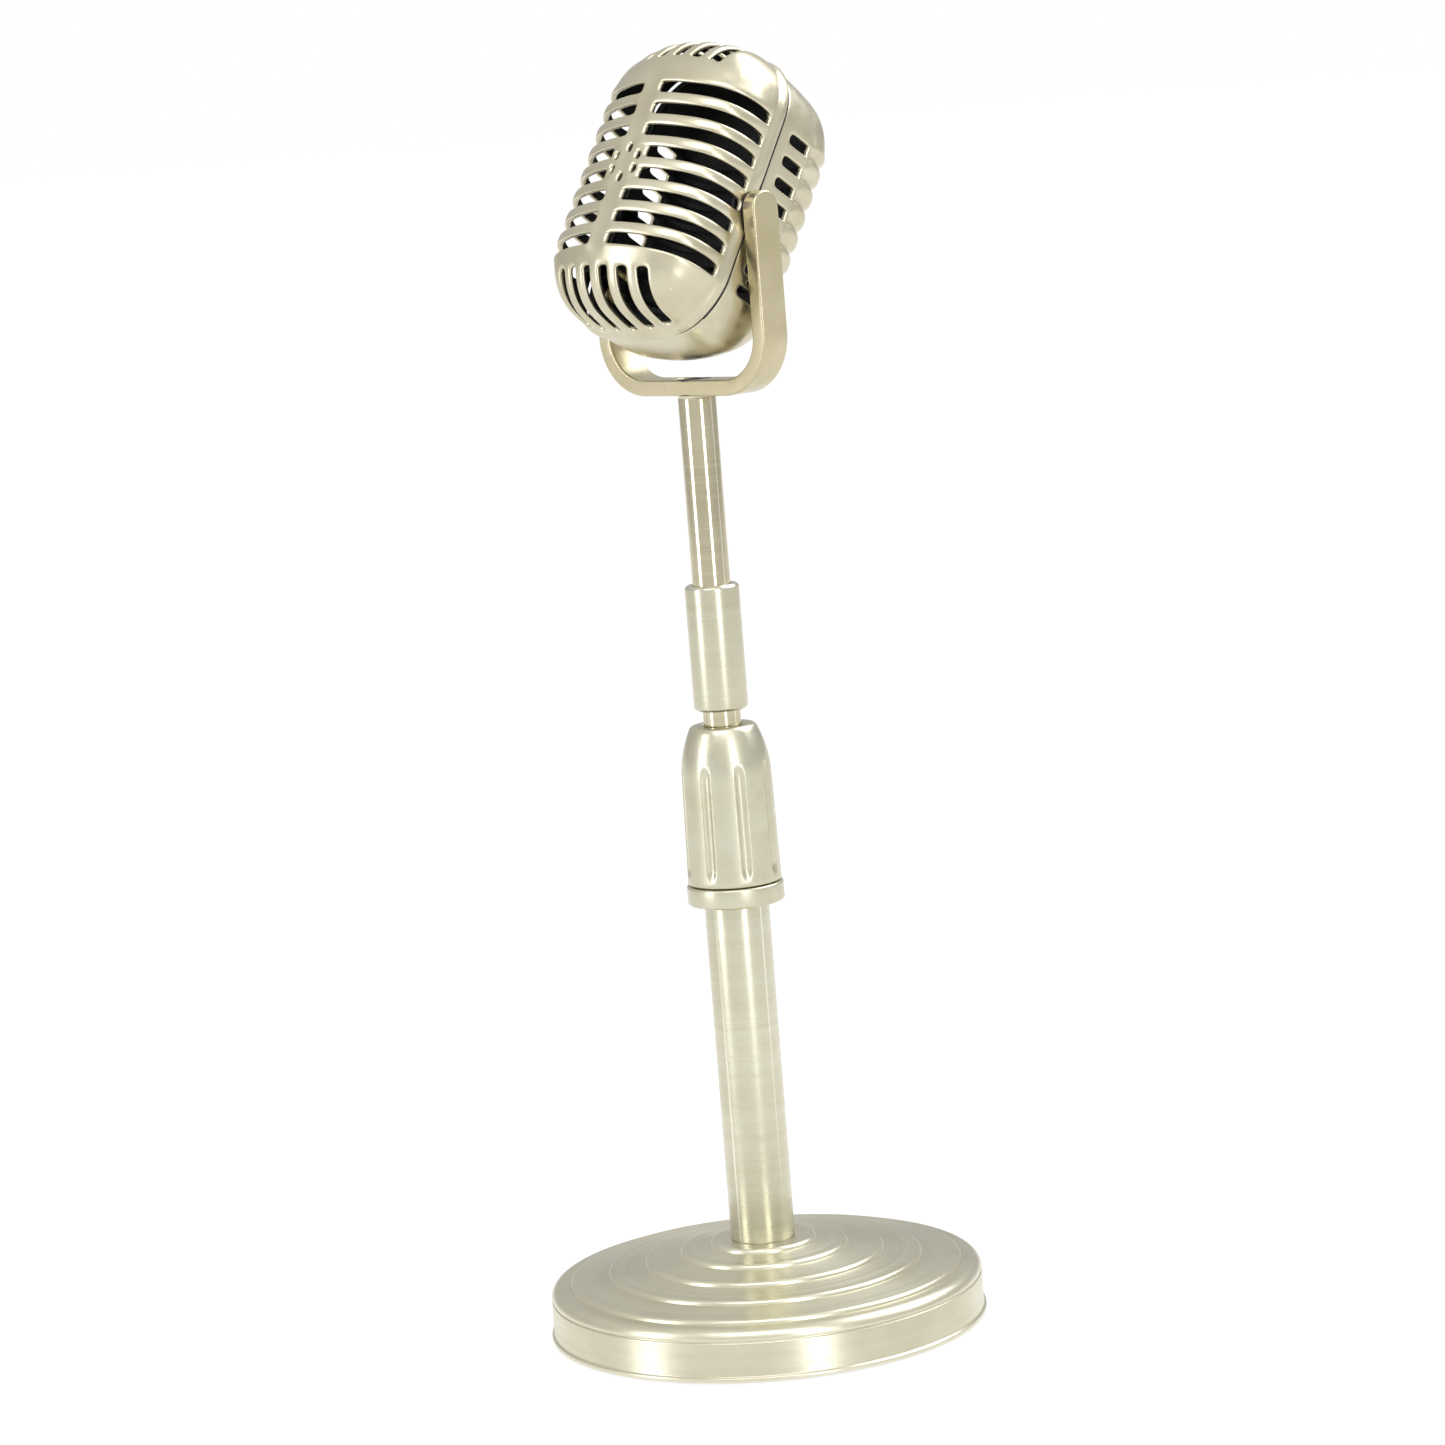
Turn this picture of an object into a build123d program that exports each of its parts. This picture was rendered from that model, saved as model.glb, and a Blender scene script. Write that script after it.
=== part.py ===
from build123d import *
import math
import os

# Retro desk microphone prop: a slotted two-shell head hangs in a U-shaped yoke on a
# telescopic stand with a round stepped base.
#
# Frame: millimetres, +Z up, origin on the floor at the middle of the base.
# The front of the head faces -Y and the yoke's arms stand at +X and -X.
# Everything is drawn with the stand pushed down and the head tipped back.

# ---------------------------------------------------------------- driving dimensions
# Clearances
SLIP = 0.05            # radial gap of a running or pressed fit
GAP = 0.3              # gap between neighbours that move past each other
BUTT = 0.1             # gap where two faces are screwed up to each other

# Base
BASE_RADIUS = 70.0
BASE_LIP_HEIGHT = 1.3
BASE_SKIRT_TOP = 12.8
BASE_SHELL_WALL = 1.6
SKIRT_INSET = 0.8      # the skirt stands this far inside the lip
SKIRT_GROOVE_HEIGHT = 0.8
SKIRT_GROOVE_DEPTH = 0.5
SHOULDER_RADIUS = 3.3
TERRACE_RIM = 8.5      # from the base's edge to the outermost terrace
TERRACE_INNER = 15.5   # radius of the innermost terrace
TERRACE_SHARES = [1.0, 0.728, 0.467, 0.217, 0.0]    # spacing of the terraces in between
TERRACE_RISER = 1.5
TERRACE_SLOPE = 0.08   # rise per millimetre between two risers
FLOOR_GAP = 0.6        # the metal lip stays this far off the table
PAD_THICKNESS = 2.0
WEIGHT_THICKNESS = 8.0
NUT_POCKET_RADIUS = 14.0
NUT_POCKET_DEPTH = 6.3

# Fixing stud, its washer and its nut
STUD_RADIUS = 4.0
STUD_HOLE_RADIUS = 4.2
NUT_ACROSS_FLATS = 13.0
NUT_HEIGHT = 3.8
BASE_WASHER_RADIUS = 11.0
BASE_WASHER_THICKNESS = 1.6

# Lower tube and its plug
LOWER_TUBE_RADIUS = 10.3
LOWER_TUBE_WALL = 1.25
LOWER_TUBE_LENGTH = 138.0
PLUG_DEPTH = 12.0

# Clutch that holds the mast
TUBE_IN_CLUTCH = 28.58    # how much of the lower tube stands inside the clutch
COLLAR_WALL = 2.2         # from the tube to the crest of the thread
RING_STEP = 2.9           # how far the ring stands out from the thread
CLUTCH_RING_HEIGHT = 6.3
CLUTCH_THREAD_LENGTH = 14.0
GRIP_LENGTH = 50.3
GRIP_WALL = 2.4
GRIP_TAPER = 0.65
GRIP_CROWN_WALL = 3.2
GRIP_SHOULDER_LENGTH = 16.5
MOUTH_ROOM = 1.1          # between the rod and the nut's mouth
GROOVE_COUNT = 8
GROOVE_RADIUS = 1.9
GROOVE_DEPTH = 0.9
GROOVE_LENGTH = 35.0
GROOVE_PHASE = 15.5    # degrees from +X to the first groove
COLLET_SPIGOT = 8.0
COLLET_FLANGE = 2.0
COLLET_CONE_LENGTH = 18.0
COLLET_CONE_STEP = 0.7
COLLET_TIP_WALL = 2.0
COLLET_SLITS = 4
COLLET_SLIT_WIDTH = 1.2

# Mast: rod, guide bush, sleeve and end insert
ROD_RADIUS = 6.0
ROD_WALL = 1.2
ROD_FOOT_ROOM = 14.92     # from the tube's plug to the rod
ROD_SHOWN = 58.8          # from the sleeve to the top of the rod
ROD_BUSH_LENGTH = 12.0
ROD_BUSH_FLOOR = 2.0
SLEEVE_ROOM = 4.9         # from the clutch nut to the sleeve
SLEEVE_LENGTH = 39.8
SLEEVE_WALL = 2.6
SLEEVE_CHAMFER = 1.0
INSERT_LENGTH = 16.0

# Yoke: a flat bar bent into a U
YOKE_SIDE_ROOM = 0.8      # between the head and each arm
YOKE_CHIN_ROOM = 7.2      # from the upright head down to the yoke's floor
YOKE_THICKNESS = 5.0
YOKE_DEPTH = 11.0
YOKE_BEND_RADIUS = 18.5
YOKE_EDGE = 0.7
SWIVEL_WASHER_THICKNESS = 0.8
YOKE_SCREW_RADIUS = 3.0
YOKE_SCREW_HEAD_RADIUS = 5.6
YOKE_SCREW_LENGTH = 16.0

# Head
HEAD_TILT = 33.0
HEAD_HALF_WIDTH = 30.2
HEAD_FRONT_DEPTH = 29.0
HEAD_REAR_DEPTH = 31.5
HEAD_TOP = 52.2        # above the pivot, before tilting
HEAD_BOTTOM = 44.6     # below the pivot, before tilting
HEAD_CROWN_RADIUS = 90.0
HEAD_EDGE_RADIUS = 14.5
FRONT_SIDE_FLAT = 10.0
FRONT_CORNER_RADIUS = 16.0
REAR_SIDE_FLAT = 17.0
REAR_CORNER_RADIUS = 12.8
REAR_STEP = 0.5        # the rear shell sits this far inside the front one
HEAD_WALL = 2.0

# Slots of the head
ROW_COUNT = 8
ROW_PITCH = 7.48
ROW_MIDDLE = 1.7
ROW_SLOT_HEIGHT = 3.3
BAND_HALF_WIDTH = 3.8
BADGE_ROWS = (3, 4)
BADGE_HALF_WIDTH = 7.4
BADGE_SLOT_RING = 5.0
BADGE_SLOT_LENGTH = 2.7
BADGE_SLOT_WIDTH = 1.5
FRONT_SLOT_MARGIN = 5.2
DOME_SLOTS = 6
DOME_SLOT_PITCH = 7.0
DOME_SLOT_WIDTH = 3.2
DOME_SLOT_MARGIN = 6.0
CROWN_BAR = 10.97         # plain wall between the top row and the crown slots
CHIN_BAR = 6.87           # plain wall between the bottom row and the chin slots
REAR_SLOT_FROM = 6.2
REAR_SLOT_TO = 14.4
REAR_RIB_WIDTH = 1.4
REAR_GROOVE_DEPTH = 0.9
REAR_BAND_HALF_WIDTH = 3.8

# How far each straight cut of a slot reaches round a corner, as a share of its radius
FRONT_FACE_CUT_REACH = 0.75
FRONT_FACE_CUT_BACK = 0.75
FRONT_SIDE_CUT_REACH = 0.75
REAR_SIDE_CUT_REACH = 0.8
REAR_FACE_CUT_BACK = 0.9
REAR_FACE_CUT_MARGIN = 3.0
DOME_CUT_TURN = 0.55
DOME_CUT_START = 0.2
REAR_CUT_TURN = 0.45
CUT_OVERRUN = 5.0      # cutters stand this far out of the head

# Head fastenings
CASE_SCREW_BACK = 10.3
CASE_SCREW_ROW = 7        # the screws sit in the bar above this row
CASE_SCREW_RADIUS = 1.1
CASE_SCREW_LENGTH = 5.2
CASE_SCREW_SUNK = 1.0
LUG_THICKNESS = 3.4
LUG_HALF_HEIGHT = 2.0
TONGUE_HALF_WIDTH = 8.0
TONGUE_REACH = 5.0
TONGUE_THICKNESS = 2.0
PIVOT_SCREW_RADIUS = 2.0
PIVOT_SCREW_HEAD_RADIUS = 3.7
PIVOT_SCREW_HEAD_HEIGHT = 2.6
PIVOT_BUSH_RADIUS = 4.0
PIVOT_BUSH_FLANGE_RADIUS = 5.6
PIVOT_BUSH_FLANGE_THICKNESS = 1.2
PIVOT_SPRING_THICKNESS = 0.8
PIVOT_HOLE_DEPTH = 3.6
PIVOT_WASHER_RADIUS = 5.0

# ---------------------------------------------------------------- derived places
TERRACE_SPAN = BASE_RADIUS - TERRACE_RIM - TERRACE_INNER
TERRACE_RADII = [TERRACE_INNER + TERRACE_SPAN * share for share in TERRACE_SHARES]
BASE_TOP = (
    BASE_SKIRT_TOP + SKIRT_GROOVE_HEIGHT + SHOULDER_RADIUS
    + len(TERRACE_RADII) * TERRACE_RISER
    + TERRACE_SPAN * TERRACE_SLOPE
)
TUBE_BOTTOM = BASE_TOP
TUBE_TOP = TUBE_BOTTOM + LOWER_TUBE_LENGTH
TUBE_BORE = LOWER_TUBE_RADIUS - LOWER_TUBE_WALL
WEIGHT_BOTTOM = PAD_THICKNESS
WEIGHT_TOP = WEIGHT_BOTTOM + WEIGHT_THICKNESS
POCKET_ROOF = WEIGHT_BOTTOM + NUT_POCKET_DEPTH
CLUTCH_BOTTOM = TUBE_TOP - TUBE_IN_CLUTCH
CLUTCH_THREAD_RADIUS = LOWER_TUBE_RADIUS + COLLAR_WALL
CLUTCH_RING_RADIUS = CLUTCH_THREAD_RADIUS + RING_STEP
RING_TOP = CLUTCH_BOTTOM + CLUTCH_RING_HEIGHT
COLLET_CONE_RADIUS = LOWER_TUBE_RADIUS - COLLET_CONE_STEP
COLLET_TIP_RADIUS = ROD_RADIUS + COLLET_TIP_WALL
GRIP_BOTTOM = RING_TOP + GAP
GRIP_TOP = GRIP_BOTTOM + GRIP_LENGTH
GRIP_BOTTOM_RADIUS = CLUTCH_THREAD_RADIUS + GRIP_WALL
GRIP_WAIST_RADIUS = GRIP_BOTTOM_RADIUS - GRIP_TAPER
GRIP_MOUTH_RADIUS = ROD_RADIUS + MOUTH_ROOM
GRIP_TOP_RADIUS = GRIP_MOUTH_RADIUS + GRIP_CROWN_WALL
SLEEVE_BOTTOM = GRIP_TOP + SLEEVE_ROOM
SLEEVE_TOP = SLEEVE_BOTTOM + SLEEVE_LENGTH
SLEEVE_RADIUS = ROD_RADIUS + SLEEVE_WALL
ROD_BOTTOM = TUBE_BOTTOM + PLUG_DEPTH + ROD_FOOT_ROOM
ROD_TOP = SLEEVE_TOP + ROD_SHOWN
YOKE_BOTTOM = ROD_TOP + SWIVEL_WASHER_THICKNESS
YOKE_FLOOR = YOKE_BOTTOM + YOKE_THICKNESS
YOKE_INNER = HEAD_HALF_WIDTH + YOKE_SIDE_ROOM
YOKE_HALF_WIDTH = YOKE_INNER + YOKE_THICKNESS
PIVOT_HEIGHT = YOKE_FLOOR + HEAD_BOTTOM + YOKE_CHIN_ROOM
ROWS_REACH = ((ROW_COUNT - 1) * ROW_PITCH + ROW_SLOT_HEIGHT) / 2
CROWN_SLOT_START = ROW_MIDDLE + ROWS_REACH + CROWN_BAR
CHIN_SLOT_START = ROWS_REACH - ROW_MIDDLE + CHIN_BAR
CASE_SCREW_DROP = (CASE_SCREW_ROW - ROW_COUNT / 2) * ROW_PITCH - ROW_MIDDLE
FAR = 200.0            # longer than any cut needs to be


# ---------------------------------------------------------------- small helpers
def disc(radius, bottom, top, bore=0.0):
    """A turned ring or solid disc about the Z axis."""
    solid = Pos(0, 0, (bottom + top) / 2) * Cylinder(radius, top - bottom)
    if bore > 0:
        solid -= Pos(0, 0, (bottom + top) / 2) * Cylinder(bore, top - bottom)
    return solid


def turned(points):
    """Revolve a closed outline of (radius, height) points about the Z axis."""
    face = Plane.XZ * make_face(Polyline(*points, close=True))
    return revolve(face, Axis.Z)


def crosswise(radius, x_from, x_to, y=0.0, z=0.0):
    """A round bar that lies along X."""
    bar = Cylinder(radius, abs(x_to - x_from))
    return Pos((x_from + x_to) / 2, y, z) * Rot(0, 90, 0) * bar


def block(x_from, x_to, y_from, y_to, z_from, z_to):
    """A box given by its faces."""
    size = (x_to - x_from, y_to - y_from, z_to - z_from)
    middle = ((x_from + x_to) / 2, (y_from + y_to) / 2, (z_from + z_to) / 2)
    return Pos(*middle) * Box(*size)


def both_sides(solid):
    """A solid and its mirror image across the YZ plane."""
    return solid + mirror(solid, about=Plane.YZ)


def save(shape, name):
    """Write one node."""
    shape.label = name
    export_step(shape, f"parts/{name}.step")


# ---------------------------------------------------------------- base
def terrace_steps():
    """Foot and crest of every riser of the domed top, from the rim inwards."""
    steps = []
    height = BASE_SKIRT_TOP + SKIRT_GROOVE_HEIGHT + SHOULDER_RADIUS
    previous = TERRACE_RADII[0]
    for radius in TERRACE_RADII:
        height += (previous - radius) * TERRACE_SLOPE
        steps.append((radius, height, height + TERRACE_RISER))
        height += TERRACE_RISER
        previous = radius
    return steps


def base_shell():
    """Spun metal cover: lip, skirt, fine groove, round shoulder and terraced top."""
    skirt = BASE_RADIUS - SKIRT_INSET
    groove = BASE_SKIRT_TOP
    shoulder_foot = groove + SKIRT_GROOVE_HEIGHT
    shoulder_top = shoulder_foot + SHOULDER_RADIUS
    centre_r = skirt - SHOULDER_RADIUS
    bend = SHOULDER_RADIUS * math.sqrt(0.5)
    steps = terrace_steps()
    first = steps[0]

    edges = [
        Polyline(
            (skirt - BASE_SHELL_WALL, FLOOR_GAP),
            (BASE_RADIUS, FLOOR_GAP),
            (BASE_RADIUS, FLOOR_GAP + BASE_LIP_HEIGHT),
            (skirt, FLOOR_GAP + BASE_LIP_HEIGHT + 0.4),
            (skirt, groove),
            (skirt - SKIRT_GROOVE_DEPTH, groove + SKIRT_GROOVE_HEIGHT / 3),
            (skirt - SKIRT_GROOVE_DEPTH, shoulder_foot),
            (skirt, shoulder_foot),
        ),
        ThreePointArc(
            (skirt, shoulder_foot),
            (centre_r + bend, shoulder_foot + bend),
            (centre_r, shoulder_top),
        ),
        Line((centre_r, shoulder_top), (first[0] + TERRACE_RISER, first[1])),
    ]
    for index, (radius, foot, crest) in enumerate(steps):
        reach = TERRACE_RISER * math.sqrt(0.5)
        edges.append(
            ThreePointArc(
                (radius + TERRACE_RISER, foot),
                (radius + reach, foot + reach),
                (radius, crest),
            )
        )
        if index + 1 < len(steps):
            following = steps[index + 1]
            edges.append(
                Line((radius, crest), (following[0] + TERRACE_RISER, following[1]))
            )
    last = steps[-1]
    roof = last[2] - BASE_SHELL_WALL - TERRACE_RISER
    rim_roof = shoulder_foot
    edges.append(
        Polyline(
            (last[0], last[2]),
            (STUD_HOLE_RADIUS, BASE_TOP),
            (STUD_HOLE_RADIUS, roof),
            (NUT_POCKET_RADIUS, roof),
            (skirt - SHOULDER_RADIUS - BASE_SHELL_WALL, rim_roof + 0.6),
            (skirt - BASE_SHELL_WALL, rim_roof - 2.0),
            (skirt - BASE_SHELL_WALL, FLOOR_GAP),
        )
    )
    face = Plane.XZ * make_face(edges)
    return revolve(face, Axis.Z)


def base_weight():
    """Cast disc with a centre boss that the cover's top is clamped down on."""
    radius = BASE_RADIUS - SKIRT_INSET - BASE_SHELL_WALL - GAP
    roof = BASE_TOP - BASE_SHELL_WALL - TERRACE_RISER
    body = disc(radius, WEIGHT_BOTTOM, WEIGHT_TOP, STUD_HOLE_RADIUS)
    body += disc(NUT_POCKET_RADIUS - 1.0, WEIGHT_TOP - 1.0, roof, STUD_HOLE_RADIUS)
    return body - disc(NUT_POCKET_RADIUS, WEIGHT_BOTTOM, POCKET_ROOF)


def base_pad():
    """Soft disc glued under the weight; it carries the stand."""
    return disc(BASE_RADIUS - SKIRT_INSET - BASE_SHELL_WALL - 1.0, 0.0, PAD_THICKNESS)


def base_washer():
    return disc(
        BASE_WASHER_RADIUS,
        POCKET_ROOF - BASE_WASHER_THICKNESS,
        POCKET_ROOF,
        STUD_RADIUS + 0.2,
    )


def base_nut():
    """Thin hexagon nut on the stud."""
    top = POCKET_ROOF - BASE_WASHER_THICKNESS
    outline = RegularPolygon(NUT_ACROSS_FLATS / 2, 6, major_radius=False)
    nut = extrude(Pos(0, 0, top - NUT_HEIGHT) * outline, NUT_HEIGHT)
    return nut - disc(STUD_RADIUS + SLIP, top - NUT_HEIGHT, top)


# ---------------------------------------------------------------- lower stand
def lower_tube():
    tube = disc(LOWER_TUBE_RADIUS, TUBE_BOTTOM, TUBE_TOP, TUBE_BORE)
    rims = tube.edges().filter_by(GeomType.CIRCLE).group_by(Axis.Z)[-1]
    return chamfer(rims, 0.3)


def tube_plug():
    """Turned plug pressed into the tube, with the stud that goes through the base."""
    stud_bottom = POCKET_ROOF - BASE_WASHER_THICKNESS - NUT_HEIGHT - 0.2
    return turned([
        (0, stud_bottom),
        (STUD_RADIUS - 0.6, stud_bottom),
        (STUD_RADIUS, stud_bottom + 0.6),
        (STUD_RADIUS, TUBE_BOTTOM),
        (TUBE_BORE - SLIP, TUBE_BOTTOM),
        (TUBE_BORE - SLIP, TUBE_BOTTOM + PLUG_DEPTH - 1.0),
        (TUBE_BORE - SLIP - 1.0, TUBE_BOTTOM + PLUG_DEPTH),
        (0, TUBE_BOTTOM + PLUG_DEPTH),
    ])


def clutch_body():
    """Collar pressed on the lower tube, with the outer thread of the clutch."""
    bore = LOWER_TUBE_RADIUS + SLIP
    thread_top = RING_TOP + CLUTCH_THREAD_LENGTH
    return turned([
        (bore, CLUTCH_BOTTOM),
        (CLUTCH_RING_RADIUS - 0.6, CLUTCH_BOTTOM),
        (CLUTCH_RING_RADIUS, CLUTCH_BOTTOM + 0.6),
        (CLUTCH_RING_RADIUS, RING_TOP - 0.5),
        (CLUTCH_RING_RADIUS - 0.5, RING_TOP),
        (CLUTCH_THREAD_RADIUS, RING_TOP),
        (CLUTCH_THREAD_RADIUS, thread_top - 0.6),
        (CLUTCH_THREAD_RADIUS - 0.6, thread_top),
        (bore, thread_top),
    ])


def clutch_collet():
    """Split plastic collet: its spigot stands in the tube and its cone grips the rod."""
    bore = ROD_RADIUS + 2 * SLIP
    flange_top = TUBE_TOP + COLLET_FLANGE
    cone_top = flange_top + COLLET_CONE_LENGTH
    collet = turned([
        (bore, TUBE_TOP - COLLET_SPIGOT),
        (TUBE_BORE - SLIP, TUBE_TOP - COLLET_SPIGOT),
        (TUBE_BORE - SLIP, TUBE_TOP),
        (LOWER_TUBE_RADIUS, TUBE_TOP),
        (LOWER_TUBE_RADIUS, flange_top),
        (COLLET_CONE_RADIUS, flange_top),
        (COLLET_TIP_RADIUS, cone_top),
        (bore, cone_top),
    ])
    slit_bottom = flange_top + 2.0
    half = COLLET_SLIT_WIDTH / 2
    for index in range(COLLET_SLITS):
        slit = block(0, 2 * LOWER_TUBE_RADIUS, -half, half, slit_bottom, cone_top + 1.0)
        collet -= Rot(0, 0, index * 360 / COLLET_SLITS) * slit
    return collet


def clutch_grip():
    """Tapered nut with a rounded shoulder and long grooves for the fingers."""
    shoulder = GRIP_TOP - GRIP_SHOULDER_LENGTH
    drop = GRIP_WAIST_RADIUS - GRIP_TOP_RADIUS
    arc_radius = (GRIP_SHOULDER_LENGTH ** 2 + drop ** 2) / (2 * drop)
    half_way = GRIP_SHOULDER_LENGTH / 2
    sag = arc_radius - math.sqrt(arc_radius ** 2 - half_way ** 2)
    thread_bore = CLUTCH_THREAD_RADIUS + 2 * SLIP
    thread_top = RING_TOP + CLUTCH_THREAD_LENGTH + 2.0
    clear_bore = LOWER_TUBE_RADIUS + GAP
    cone_bottom = TUBE_TOP + COLLET_FLANGE + GAP
    cone_top = cone_bottom + COLLET_CONE_LENGTH

    outline = [
        Polyline(
            (GRIP_TOP_RADIUS, GRIP_TOP),
            (GRIP_MOUTH_RADIUS, GRIP_TOP),
            (GRIP_MOUTH_RADIUS, cone_top),
            (COLLET_TIP_RADIUS + GAP, cone_top),
            (COLLET_CONE_RADIUS + GAP, cone_bottom),
            (clear_bore, cone_bottom),
            (clear_bore, thread_top),
            (thread_bore, thread_top),
            (thread_bore, GRIP_BOTTOM),
            (GRIP_BOTTOM_RADIUS - 0.4, GRIP_BOTTOM),
            (GRIP_BOTTOM_RADIUS, GRIP_BOTTOM + 0.4),
            (GRIP_WAIST_RADIUS, shoulder),
        ),
        ThreePointArc(
            (GRIP_WAIST_RADIUS, shoulder),
            (GRIP_WAIST_RADIUS - sag, shoulder + half_way),
            (GRIP_TOP_RADIUS, GRIP_TOP),
        ),
    ]
    grip = revolve(Plane.XZ * make_face(outline), Axis.Z)
    taper = math.degrees(
        math.atan2(GRIP_BOTTOM_RADIUS - GRIP_WAIST_RADIUS, shoulder - GRIP_BOTTOM)
    )
    middle = GRIP_BOTTOM + 3.0 + GROOVE_LENGTH / 2
    share = (middle - GRIP_BOTTOM) / (shoulder - GRIP_BOTTOM)
    skin = GRIP_BOTTOM_RADIUS + (GRIP_WAIST_RADIUS - GRIP_BOTTOM_RADIUS) * share
    reach = skin + GROOVE_RADIUS - GROOVE_DEPTH
    straight = GROOVE_LENGTH - 2 * GROOVE_RADIUS
    cutter = Cylinder(GROOVE_RADIUS, straight)
    cutter += Pos(0, 0, straight / 2) * Sphere(GROOVE_RADIUS)
    cutter += Pos(0, 0, -straight / 2) * Sphere(GROOVE_RADIUS)
    for index in range(GROOVE_COUNT):
        turn = GROOVE_PHASE + index * 360 / GROOVE_COUNT
        grip -= Rot(0, 0, turn) * Pos(reach, 0, middle) * Rot(0, -taper, 0) * cutter
    return grip


# ---------------------------------------------------------------- mast
def mast_rod():
    rod = disc(ROD_RADIUS, ROD_BOTTOM, ROD_TOP, ROD_RADIUS - ROD_WALL)
    return chamfer(rod.edges().filter_by(GeomType.CIRCLE).group_by(Axis.Z)[-1], 0.3)


def rod_bush():
    """Plastic foot of the rod: a cup over its lower end that slides in the tube."""
    outer = TUBE_BORE - 2 * SLIP
    floor = ROD_BOTTOM - ROD_BUSH_FLOOR
    cup = disc(outer, floor, ROD_BOTTOM + ROD_BUSH_LENGTH)
    return cup - disc(ROD_RADIUS + SLIP, ROD_BOTTOM, ROD_BOTTOM + ROD_BUSH_LENGTH)


def rod_sleeve():
    """Stop sleeve fixed on the rod, above the clutch."""
    bore = ROD_RADIUS + SLIP
    small = SLEEVE_RADIUS - SLEEVE_CHAMFER
    return turned([
        (bore, SLEEVE_BOTTOM),
        (small, SLEEVE_BOTTOM),
        (SLEEVE_RADIUS, SLEEVE_BOTTOM + SLEEVE_CHAMFER),
        (SLEEVE_RADIUS, SLEEVE_TOP - SLEEVE_CHAMFER),
        (small, SLEEVE_TOP),
        (bore, SLEEVE_TOP),
    ])


def rod_insert():
    """Threaded plug in the top of the rod, for the yoke's screw."""
    radius = ROD_RADIUS - ROD_WALL - SLIP
    return disc(radius, ROD_TOP - INSERT_LENGTH, ROD_TOP, YOKE_SCREW_RADIUS + SLIP)


def swivel_washer():
    return disc(ROD_RADIUS - 0.3, ROD_TOP, YOKE_BOTTOM, YOKE_SCREW_RADIUS + 0.2)


def yoke_screw():
    """Countersunk screw, flush with the floor of the yoke."""
    head_drop = YOKE_SCREW_HEAD_RADIUS - YOKE_SCREW_RADIUS
    top = YOKE_FLOOR - 0.1
    screw = turned([
        (0, YOKE_FLOOR - YOKE_SCREW_LENGTH),
        (YOKE_SCREW_RADIUS, YOKE_FLOOR - YOKE_SCREW_LENGTH),
        (YOKE_SCREW_RADIUS, top - head_drop),
        (YOKE_SCREW_HEAD_RADIUS, top),
        (0, top),
    ])
    socket = RegularPolygon(2.0, 6, major_radius=False)
    return screw - extrude(Pos(0, 0, top - 2.0) * socket, 3.0)


# ---------------------------------------------------------------- yoke
def yoke():
    """Flat bar bent into a U, with round arm ends and blind holes for the pivots."""
    half = YOKE_DEPTH / 2
    crown = PIVOT_HEIGHT + half
    inner_bend = YOKE_BEND_RADIUS - YOKE_THICKNESS
    bar = block(-YOKE_HALF_WIDTH, YOKE_HALF_WIDTH, -half, half, YOKE_BOTTOM, crown)
    lower = bar.edges().filter_by(Axis.Y).group_by(Axis.Z)[0]
    bar = fillet(lower, YOKE_BEND_RADIUS)
    space = block(-YOKE_INNER, YOKE_INNER, -half, half, YOKE_FLOOR, crown + YOKE_DEPTH)
    lower = space.edges().filter_by(Axis.Y).group_by(Axis.Z)[0]
    bar -= fillet(lower, inner_bend)
    tall = block(-FAR, FAR, -half, half, YOKE_BOTTOM - 1.0, PIVOT_HEIGHT)
    bar &= tall + crosswise(half, -FAR, FAR, 0, PIVOT_HEIGHT)
    edges = bar.edges().filter_by(lambda e: abs(abs(e.center().Y) - half) < 0.01)
    bar = fillet(edges, YOKE_EDGE)

    hole = YOKE_SCREW_RADIUS + 0.2
    sink = YOKE_SCREW_HEAD_RADIUS + 0.2
    bar -= disc(hole, YOKE_BOTTOM - 1.0, YOKE_FLOOR + 1.0)
    bar -= turned([
        (0, YOKE_FLOOR - 0.1 - sink + hole - 0.05),
        (hole, YOKE_FLOOR - 0.1 - sink + hole - 0.05),
        (sink, YOKE_FLOOR - 0.1),
        (sink, YOKE_FLOOR + 1.0),
        (0, YOKE_FLOOR + 1.0),
    ])
    pivot = crosswise(
        PIVOT_SCREW_RADIUS + SLIP,
        YOKE_INNER - 1.0,
        YOKE_INNER + PIVOT_HOLE_DEPTH,
        0,
        PIVOT_HEIGHT,
    )
    return bar - both_sides(pivot)


# ---------------------------------------------------------------- head outline
def half_outline(half_width, depth, side_flat, corner, direction):
    """Edges of one half of the head's horizontal section, from +X round to -X.

    A straight side runs into a corner arc, and the corner arc runs into a wide arc
    across the middle. The wide arc's radius follows from the other sizes.
    """
    rest = depth - side_flat
    inset = half_width - corner
    wide = (inset ** 2 + rest ** 2 - corner ** 2) / (2 * (rest - corner))
    turn = math.asin(inset / (wide - corner))
    join_x = inset + corner * math.sin(turn)
    join_y = side_flat + corner * math.cos(turn)
    middle = (math.pi / 2 + turn) / 2
    mid_x = inset + corner * math.sin(middle)
    mid_y = side_flat + corner * math.cos(middle)
    d = direction
    return [
        Line((half_width, 0), (half_width, d * side_flat)),
        ThreePointArc((half_width, d * side_flat), (mid_x, d * mid_y), (join_x, d * join_y)),
        ThreePointArc((join_x, d * join_y), (0, d * depth), (-join_x, d * join_y)),
        ThreePointArc((-join_x, d * join_y), (-mid_x, d * mid_y), (-half_width, d * side_flat)),
        Line((-half_width, d * side_flat), (-half_width, 0)),
    ]


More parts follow.
